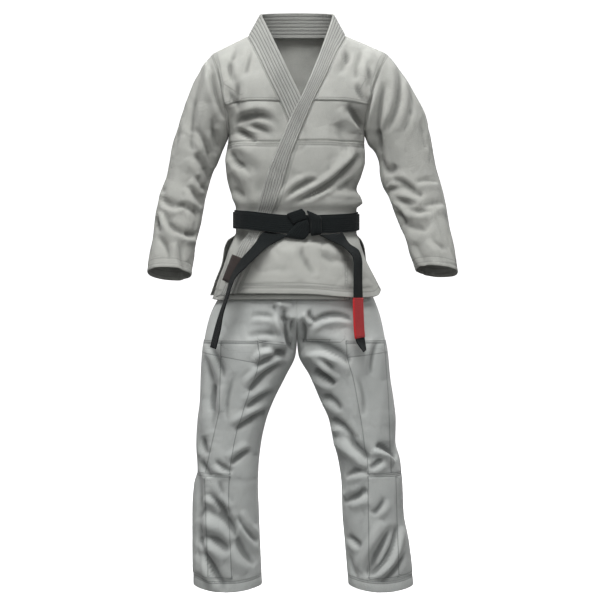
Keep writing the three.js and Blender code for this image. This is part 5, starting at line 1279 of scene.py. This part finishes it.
# %% Hang the tails and slip the bar on
TAIL_END, TAIL_THIN, BAR_SQUARENESS = 4, 0.3, 0.25
TAIL_COLUMNS = "t x y z edge_x edge_y edge_z"
RIGHT_TAIL = table(
    TAIL_COLUMNS,
    (0, -50, -97.7, -497.6, 28.5, -4, -4.6),
    (1, -74, -106, -511, 13, -8.5, -12.2),
    (2, -98, -122, -537, 9.4, -15.4, -8.4),
    (3, -128, -128, -569, 8.1, -16.5, -7.8),
    (4, -154.5, -133, -605, 5, -19.1, -2.9),
    (5, -171, -136, -656, 4, -19.6, -1),
    (6, -183.5, -136, -695, 5, -19.2, -1.5),
    (7, -193, -136, -735, 7.5, -18.4, -2),
    (8, -203.5, -135, -777, 7.5, -18.4, -2),
)
LEFT_TAIL = table(
    TAIL_COLUMNS,
    (0, 83, -91, -499.4, 28, 10, 1.8),
    (1, 102.5, -99, -508, 9.5, 13, 11.9),
    (2, 124, -105, -529, 4.5, 18.3, 6.7),
    (3, 144.5, -107, -549, 7.7, 16.1, 9),
    (4, 149, -113, -573, 10.5, 16.7, 3),
    (5, 148.5, -123, -610, 10.3, 17.1, 0),
    (6, 148.5, -131, -655, 11, 16.7, 0),
    (7, 149.5, -134, -704, 11.3, 16.5, 0.5),
    (8, 153, -135, -752, 11, 16.6, 1.5),
    (9, 165, -135, -784, 3.5, 19.6, 2),
)


def strap_frame(rows, t):
    """Middle, half width and unit face direction of a strap at each t."""
    read = curves(rows, "t")
    middle = lambda at: np.stack([read[k](at) for k in "xyz"], axis=-1)
    half = np.stack([read["edge_" + k](t) for k in "xyz"], axis=-1)
    return middle(t), half, unit(np.cross(half, middle(t + 0.3) - middle(t - 0.3)))


for name, rows in (("belt_tail_right", RIGHT_TAIL), ("belt_tail_left", LEFT_TAIL)):
    t = np.linspace(0, rows["t"][-1], 76)
    middle, half, face = strap_frame(rows, t)
    core = middle[:, None] + half[:, None] * (2 * strap_share[None, :, None] - 1)
    to_end = TAIL_THIN + lengths(core, 0)[::-1] / TAIL_END
    ends = np.sqrt(1 - (1 - np.minimum(1, to_end)) ** 2)[..., None]
    thick = strap_profile(strap_share)[None, :, None] * ends
    sewing = nearest_stitch(core, {"first": STRAP_STITCHES, "top": (5,)})
    make_shell(name, core + face[:, None] * thick, core - face[:, None] * thick, sewing)

BAR_FROM, BAR_TO, BAR_WALL = 6, 8, 1.0
middle, half, face = strap_frame(LEFT_TAIL, np.linspace(BAR_FROM, BAR_TO, 40))
turn = np.linspace(0, 2 * math.pi, 49)
wide = np.sign(np.cos(turn)) * np.abs(np.cos(turn)) ** BAR_SQUARENESS
deep = np.sign(np.sin(turn)) * np.abs(np.sin(turn)) ** BAR_SQUARENESS
sideways = unit(half)
around_bar = lambda room: (
    middle[:, None]
    + (half + sideways * room)[:, None] * wide[None, :, None]
    + face[:, None] * ((BELT_THICK / 2 + room) * deep)[None, :, None]
)
bar_outer, bar_inner = around_bar(SEAM_GAP + BAR_WALL), around_bar(SEAM_GAP)
bar_sewing = nearest_stitch(bar_outer, {"bottom": (3,), "top": (3,)})
make_shell("rank_bar", bar_outer, bar_inner, bar_sewing, wraps=True)
print("bar:", round(lengths(bar_outer, 0)[-1, 0]), "mm long")

# %% [markdown]
# The knot shows three folds of the strap: a flap on top, a lower fold, and a loop that stands at the side.
# Tied cotton swells between hard edges, so each fold is a cushion. Its outline with soft corners is drawn in
# towards the centre in rings, and ring r is raised by (1 - r^4.5)^0.42, which is steep at the edge and flat
# in the middle.

# %% Tie the knot
FOLD_CURL, FOLD_BLUNT, FOLD_EDGE, FOLD_SINK, FOLD_SEWN = 4.5, 0.42, 0.25, 0.7, 1.2
OUTLINE_STEPS, CORNER_SHARE = 112, 0.16
KNOT = {
    "knot_flap": (
        -105.9, -112.5,
        [(-26, -450), (12, -436.5), (21, -446), (23, -462), (-2, -471), (-8, -477)],
        [((-30, -458 - d), (26, -437 - d)) for d in (0, 5, 10, 15, 20, 25)],
    ),
    "knot_lower_fold": (
        -105.9, -111.5,
        [(-2, -472.5), (24, -463.5), (30, -475), (29.5, -500), (17, -513), (-31, -506), (-16, -491)],
        [((-34 + d, -507 - 0.1 * d), (0 + d, -466 - 0.1 * d)) for d in (8, 14, 20, 26, 32, 38, 44)],
    ),
    "knot_loop": (
        -104.8, -117,
        [(23, -440), (55, -454), (60, -459), (60, -500), (34, -504), (33, -488), (33, -473), (27, -452)],
        [((27 + d, -444 - 0.42 * d), (34 + d, -506)) for d in (4, 9, 14, 19, 24)],
    ),
}


def rounded_outline(corners):
    """An outline with soft corners: even steps along its sides, averaged over a short stretch each way."""
    ring = np.array(corners + corners[:1], float)
    far = np.append(0, np.cumsum(np.hypot(*np.diff(ring, axis=0).T)))
    at = np.linspace(0, far[-1], OUTLINE_STEPS, endpoint=False)
    even = np.stack([np.interp(at, far, ring[:, k]) for k in (0, 1)], axis=1)
    reach = int(OUTLINE_STEPS * CORNER_SHARE / 4)
    weights = np.hanning(2 * reach + 3)[1:-1]
    weights /= weights.sum()
    soft = sum(w * np.roll(even, k - reach, axis=0) for k, w in enumerate(weights))
    return np.concatenate([soft, soft[:1]])


for name, (back, face_y, corners, lines) in KNOT.items():
    edge = rounded_outline(corners)
    centre = edge[:-1].mean(axis=0)
    ring = np.concatenate([[0.015], np.linspace(0.06, 0.84, 17), [0.88, 0.92, 0.95, 0.975, 0.99, 1.0]])
    flat = centre + (edge - centre)[None] * ring[:, None, None]
    rise = FOLD_EDGE + (1 - FOLD_EDGE) * (1 - ring**FOLD_CURL) ** FOLD_BLUNT
    height = back + (face_y - back) * rise[:, None] + 0 * flat[..., 0]
    front = np.stack([flat[..., 0], height, flat[..., 1]], axis=-1)
    rear = np.stack([flat[..., 0], back + 0 * height, flat[..., 1]], axis=-1)
    sewing = nearest_stitch(front, {"drawn": lines})
    front[..., 1] += FOLD_SINK * np.exp(-((sewing[0] / FOLD_SEWN) ** 2))
    make_shell(name, front, rear, sewing, wraps=True)
print("pieces:", len(PIECES), "faces:", sum(len(p.data.polygons) for p in PIECES.values()))

# %% [markdown]
# Each finish is a sum written with shader sockets. A small class wraps a socket so that it can be added and
# multiplied like a number, which keeps a weave's formula readable. The cloth map carries the weave in
# metres, and the sewing map carries the rows of stitches.


# %% A socket that works like a number
class Term:
    """One output of a shader node. Sums and products with it add Math nodes to the tree."""

    tree = None

    def __init__(self, socket):
        self.socket = socket

    @classmethod
    def node(cls, kind, inputs=None, output=0, **settings):
        made = cls.tree.nodes.new("ShaderNode" + kind)
        for name, value in settings.items():
            setattr(made, name, value)
        for key, value in (inputs or {}).items():
            if isinstance(value, Term):
                cls.tree.links.new(value.socket, made.inputs[key])
            else:
                made.inputs[key].default_value = value
        return cls(made.outputs[output])

    def math(self, kind, other=None, swap=False):
        pair = (self,) if other is None else ((other, self) if swap else (self, other))
        return Term.node("Math", dict(enumerate(pair)), operation=kind)

    def __add__(self, other):
        return self.math("ADD", other)

    def __sub__(self, other):
        return self.math("SUBTRACT", other)

    def __rsub__(self, other):
        return self.math("SUBTRACT", other, swap=True)

    def __mul__(self, other):
        return self.math("MULTIPLY", other)

    def __truediv__(self, other):
        return self.math("DIVIDE", other)

    __radd__ = __add__
    __rmul__ = __mul__

    def sine(self):
        return self.math("SINE")

    def size(self):
        return self.math("ABSOLUTE")

    def hill(self, width):
        """exp(-(x / width)^2): 1 at nothing, and near 0 beyond twice the width."""
        part = self / width
        return (part * part * -1.0).math("EXPONENT")

    def colours(self, low, high):
        """Mixes two colours by this value."""
        inputs = {"Factor": self, 6: low, 7: high}
        return Term.node("Mix", inputs, output=2, data_type="RGBA", clamp_factor=True)


def noise(scale, detail=4.0):
    """Soft random grey, 0 to 1, that stays with the object."""
    place = Term.node("TexCoord", output="Object")
    inputs = {"Vector": place, "Scale": scale, "Detail": detail, "Roughness": 0.55}
    return Term.node("TexNoise", inputs, output="Fac")


def linear(red, green, blue):
    """A colour picked as it looks on screen, turned into the linear values that shaders use."""
    share = np.array([red, green, blue]) / 255
    return tuple(np.where(share <= 0.04045, share / 12.92, ((share + 0.055) / 1.055) ** 2.4)) + (1.0,)


print("mid grey on screen is", round(linear(128, 128, 128)[0], 3), "to a shader")

# %% [markdown]
# Pearl weave shows small grains in offset rows, twill shows fine slanting ribs, and the belt has ribs across
# it. Each is a sum or a product of sines of the cloth map, so it has its real size on every piece. A finish
# adds a mottle, painted shade in the hollows of the folds and on the inner side of each shell, and a groove
# at each row of stitches with painted shade and dashes of thread in it.

# %% Weave the cloths
GRAIN_WIDE, GRAIN_TALL, GRAIN_BLUNT = 0.0026, 0.0034, 0.6
TWILL_STEP, TWILL_SLANT, RIB_WIDE, RIB_TALL = 0.0017, 1.7, 0.0019, 0.0013
FUZZ, STITCH, STITCH_SHARP, STITCH_SHIFT = 0.00025, 0.0038, 3.0, 1.4
SEWN_HALF, THREAD_HALF, THREAD_RISE, SEWN_SINK = 0.0011, 0.0005, 0.0005, 0.0004
# The first two numbers here are painted shade: fold hollows and stitch grooves darken to these shares of the
# shade colour.
HOLLOW_SHADE_TONE, GROOVE_SHADE_TONE, THREAD_SHARE = 0.3, 0.32, 0.75
MOTTLE_GAIN, MOTTLE_DROP, GRAIN_GAIN, GRAIN_DROP = 1.5, 0.25, 0.35, 0.15
GRAIN_SHINE, MOTTLE_SHINE, SHEEN_ROUGH, GLINT, RELIEF = 0.08, 0.06, 0.5, 0.25, 0.9


def pearl(u, v):
    """Pearl weave: grains in offset rows, |sin(u / a)| times |sin(v / b + half a turn every other
    column)|."""
    column = u / GRAIN_WIDE
    turn = (column.math("FLOOR") * 0.5).math("FRACT") * math.pi
    grains = (column * math.pi).sine().size() * (v / GRAIN_TALL * math.pi + turn).sine().size()
    return grains.math("POWER", GRAIN_BLUNT)


def twill(u, v):
    """Twill: fine slanting ribs, the sine of u + 1.7 v."""
    return ((u + v * TWILL_SLANT) * (2 * math.pi / TWILL_STEP)).sine() * 0.5 + 0.5


def plain_ribs(u, v):
    """Plain weave with ribs across the strap."""
    across, along = (u * (2 * math.pi / RIB_WIDE)).sine(), (v * (2 * math.pi / RIB_TALL)).sine()
    return across * 0.25 + along * 0.25 + 0.5


def cloth_finish(name, base, shade, thread, weave, depth, groove_painted_shade, sheen, fold_painted_shade=0.62, gloss=0.9):
    """A cloth with its weave, a mottle, painted shade in hollows and at the stitches, and dashes of thread
    there.
    """
    material = bpy.data.materials.new(name)
    material.use_nodes = True
    Term.tree = material.node_tree
    surface = material.node_tree.nodes["Principled BSDF"]
    pairs = []
    for kind in ("cloth", "sewing"):
        split = Term.node("SeparateXYZ", {0: Term.node("UVMap", uv_map=kind)}, output="X").socket.node
        pairs.append((Term(split.outputs["X"]), Term(split.outputs["Y"])))
    (u, v), (off, run) = pairs
    painted_shade_colour = lambda share: tuple(share * c for c in linear(*shade)[:3]) + (1.0,)
    grain = weave(u, v)
    mottle = noise(23.0) * 0.6 + noise(410.0, 2.0) * 0.4
    groove = off.hill(SEWN_HALF)
    wave = (run / STITCH * 2 * math.pi).sine() * STITCH_SHARP + STITCH_SHIFT
    sewn = off.hill(THREAD_HALF) * wave.math("MINIMUM", 1.0).math("MAXIMUM", 0.0)
    light = mottle * MOTTLE_GAIN - MOTTLE_DROP + grain * GRAIN_GAIN - GRAIN_DROP
    body = light.colours(linear(*shade), linear(*base))
    # Painted shade: the fold hollows and the inner side of each shell darken the colour.
    hollow_shade = Term.node("Attribute", output="Fac", attribute_name="hollow_shade")
    body = (hollow_shade * fold_painted_shade).colours(body, painted_shade_colour(HOLLOW_SHADE_TONE))
    # Painted shade: each groove of stitches also darkens the colour, besides sinking in the bump.
    body = (groove * groove_painted_shade).colours(body, painted_shade_colour(GROOVE_SHADE_TONE))
    body = (sewn * THREAD_SHARE).colours(body, linear(*thread))
    height = grain * depth + noise(900.0, 2.0) * FUZZ + sewn * THREAD_RISE - groove * SEWN_SINK
    bump = Term.node("Bump", {"Height": height, "Strength": RELIEF, "Distance": 1.0}, output="Normal")
    rough = gloss - grain * GRAIN_SHINE + mottle * MOTTLE_SHINE
    for title, term in (("Base Color", body), ("Roughness", rough), ("Normal", bump)):
        material.node_tree.links.new(term.socket, surface.inputs[title])
    numbers = {"Sheen Weight": sheen, "Sheen Roughness": SHEEN_ROUGH, "Specular IOR Level": GLINT}
    for title, value in numbers.items():
        surface.inputs[title].default_value = value
    return material


# In each finish the number after the weave's depth sets the painted shade in the stitch grooves, and fold
# hollows get painted shade of 0.62 unless a finish gives its own.
FINISHES = {
    "jacket_cloth": cloth_finish(
        "pearl weave", (198, 199, 193), (168, 169, 164), (190, 191, 186), pearl, 0.0009, 0.55, 0.15
    ),
    "trouser_cloth": cloth_finish(
        "cotton twill", (200, 203, 200), (178, 182, 180), (96, 100, 101), twill, 0.00016, 0.6, 0.35,
        fold_painted_shade=0.74, gloss=0.66,
    ),
    "belt_cloth": cloth_finish(
        "belt cotton", (21, 28, 29), (9, 13, 14), (31, 38, 39), plain_ribs, 0.0003, 0.5, 0.06
    ),
    "bar_cloth": cloth_finish(
        "bar cotton", (206, 44, 48), (176, 32, 38), (150, 26, 30), plain_ribs, 0.0003, 0.4, 0.2
    ),
    "patch_cloth": cloth_finish(
        "patch weave", (58, 48, 45), (38, 31, 29), (84, 74, 70), plain_ribs, 0.0003, 0.3, 0.2
    ),
}
COLLAR_FINISH = cloth_finish(
    "collar twill", (190, 191, 186), (160, 161, 157), (104, 106, 104), twill, 0.0003, 0.66, 0.15
)
SLOTS = {
    "trouser_cloth": ("leg", "thigh", "shin", "waistband"),
    "belt_cloth": ("belt", "knot"),
    "bar_cloth": ("rank",),
    "patch_cloth": ("lapel_patch",),
}
for name, piece in PIECES.items():
    slot = next((s for s, starts in SLOTS.items() if name.startswith(starts)), "jacket_cloth")
    piece.data.materials.append(COLLAR_FINISH if name == "lapel_and_collar" else FINISHES[slot])
print("finishes:", len(FINISHES) + 1)

# %% [markdown]
# The photograph is a product picture on white. The suit stands in a large white dome that is cut off flat as
# its floor. The paper shines by itself, more so further out, and takes no part in lighting the cloth. A
# large soft light hangs above and in front of the suit, and two weaker ones fill in from the camera's right
# and from low on its left. Two more stand behind the suit, so that its back can be looked at too. Those
# don't show in the picture.

# %% Set up the stage and the lights
FLOOR, DOME_RADIUS, BRIGHT_FROM, BRIGHT_RUN = -1.46, 7.5, 2.2, 1.2

form = bmesh.new()
bmesh.ops.create_uvsphere(form, u_segments=96, v_segments=64, radius=DOME_RADIUS)
for corner in form.verts:
    corner.co.z = max(corner.co.z, FLOOR)
mesh = bpy.data.meshes.new("backdrop")
form.to_mesh(mesh)
form.free()
backdrop = bpy.data.objects.new("backdrop", mesh)
bpy.context.collection.objects.link(backdrop)
paper = bpy.data.materials.new("white paper")
paper.use_nodes = True
Term.tree = paper.node_tree
paper_shader = paper.node_tree.nodes["Principled BSDF"]
place = Term.node("TexCoord", output="Object")
from_middle = Term.node("VectorMath", {0: place}, output="Value", operation="LENGTH")
glow = ((from_middle - BRIGHT_FROM) / BRIGHT_RUN).colours((0.62, 0.62, 0.62, 1), (1, 1, 1, 1))
tone = (noise(3.0) * 0.5 + 0.25).colours((0.86, 0.86, 0.86, 1), (0.9, 0.9, 0.9, 1))
paper.node_tree.links.new(tone.socket, paper_shader.inputs["Base Color"])
paper.node_tree.links.new(glow.socket, paper_shader.inputs["Emission Color"])
paper_shader.inputs["Roughness"].default_value = 1.0
paper_shader.inputs["Emission Strength"].default_value = 1.0
backdrop.data.materials.append(paper)
backdrop.visible_diffuse = backdrop.visible_glossy = backdrop.visible_shadow = False


def soft_light(name, place, target, width, height, power):
    """A rectangle of light in watts, turned to face its target."""
    data = bpy.data.lights.new(name, "AREA")
    data.shape, data.size, data.size_y, data.energy = "RECTANGLE", width, height, power
    light = bpy.data.objects.new(name, data)
    light.location = place
    direction = np.array(target) - np.array(place)
    flat = math.hypot(direction[0], direction[1])
    light.rotation_euler = (math.atan2(flat, -direction[2]), 0, math.atan2(-direction[0], direction[1]))
    bpy.context.collection.objects.link(light)
    return light


LIGHTS = {
    "key": ((-0.4, -1.9, 2.35), (0, 0, -0.6), 2.4, 1.9, 126),
    "fill": ((0.9, -3.6, 0.7), (0, 0, -0.5), 1.8, 1.6, 26),
    "low fill": ((-0.6, -3.4, -1.2), (0, 0, -1.0), 2.4, 1.0, 5),
    "back key": ((0.5, 2.1, 2.2), (0, 0, -0.6), 2.2, 1.6, 105),
    "back fill": ((-0.9, 3.6, 0.4), (0, 0, -0.6), 1.8, 1.6, 24),
}
for name, setting in LIGHTS.items():
    soft_light(name, *setting).visible_camera = not name.startswith("back")
world = bpy.data.worlds.new("studio")
world.use_nodes = True
world.node_tree.nodes["Background"].inputs["Color"].default_value = (1, 1, 1, 1)
world.node_tree.nodes["Background"].inputs["Strength"].default_value = 0.2
bpy.context.scene.world = world
bpy.context.scene.view_settings.view_transform = "Standard"
print("lights:", len(LIGHTS), "of", sum(setting[-1] for setting in LIGHTS.values()), "watts in all")

# %% [markdown]
# Every piece of cloth is listed with the flat size it was cut to, and its cut area is printed beside the
# area of its shell. The sizes are given as a cutter would list them, width first, and they allow for what
# the folds take up. How each piece is held and what it rests on are listed too, but nothing reads them.

# %% List the cut of each piece
CUTS = {
    "front_left_lower": (0.46, 0.41, 0.137, "hung", ["front_left_upper"]),
    "front_left_upper": (0.24, 0.29, 0.050, "hung", ["lapel_and_collar"]),
    "front_right_lower": (0.42, 0.41, 0.122, "hung", ["front_right_upper"]),
    "front_right_upper": (0.24, 0.29, 0.050, "hung", ["lapel_and_collar"]),
    "back_lower": (0.54, 0.41, 0.190, "hung", ["back_upper"]),
    "back_upper": (0.46, 0.29, 0.128, "hung", ["lapel_and_collar"]),
    "yoke_front_left": (0.21, 0.19, 0.028, "laid", ["front_left_upper"]),
    "yoke_front_right": (0.20, 0.19, 0.027, "laid", ["front_right_upper"]),
    "yoke_back": (0.45, 0.12, 0.048, "laid", ["back_upper"]),
    "sleeve_left": (0.57, 0.62, 0.235, "hung", ["front_left_upper", "back_upper"]),
    "sleeve_right": (0.56, 0.60, 0.220, "hung", ["front_right_upper", "back_upper"]),
    "lapel_and_collar": (0.052, 1.83, None, "folded", ["back_upper"]),
    "lapel_patch": (0.030, 0.077, None, "laid", ["lapel_and_collar"]),
    "leg_front_left": (0.33, 0.92, 0.270, "hung", ["waistband"]),
    "leg_back_left": (0.33, 0.92, 0.262, "hung", ["waistband"]),
    "leg_front_right": (0.34, 0.92, 0.272, "hung", ["waistband"]),
    "leg_back_right": (0.34, 0.92, 0.266, "hung", ["waistband"]),
    "thigh_patch_left": (0.18, 0.34, 0.056, "laid", ["leg_front_left"]),
    "shin_patch_left": (0.17, 0.26, 0.042, "laid", ["leg_front_left"]),
    "thigh_patch_right": (0.20, 0.34, 0.064, "laid", ["leg_front_right"]),
    "shin_patch_right": (0.165, 0.26, 0.041, "laid", ["leg_front_right"]),
    "waistband": (0.76, 0.040, None, "stretched", ["leg_front_left", "leg_front_right"]),
    "belt_inner_wrap": (0.040, 0.81, None, "stretched", ["back_lower"]),
    "belt_outer_wrap": (0.040, 0.835, None, "stretched", ["belt_inner_wrap"]),
    "belt_tail_right": (0.040, 0.335, None, "hung", ["belt_outer_wrap"]),
    "belt_tail_left": (0.040, 0.320, None, "hung", ["belt_outer_wrap"]),
    "rank_bar": (0.090, 0.098, None, "folded", ["belt_tail_left"]),
    "knot_flap": (0.040, 0.045, 0.0014, "folded", ["belt_outer_wrap"]),
    "knot_lower_fold": (0.040, 0.060, 0.0021, "folded", ["belt_outer_wrap"]),
    "knot_loop": (0.040, 0.065, 0.0022, "folded", ["belt_outer_wrap"]),
}
triangles = 0
for name, (width, length, area, held, rests_on) in CUTS.items():
    piece = PIECES[name]
    areas = np.empty(len(piece.data.polygons))
    piece.data.polygons.foreach_get("area", areas)
    triangles += 2 * len(areas)
    print(name, "cut", area or round(width * length, 4), "made", round(areas.sum() / 2, 4))
print("triangles", triangles)
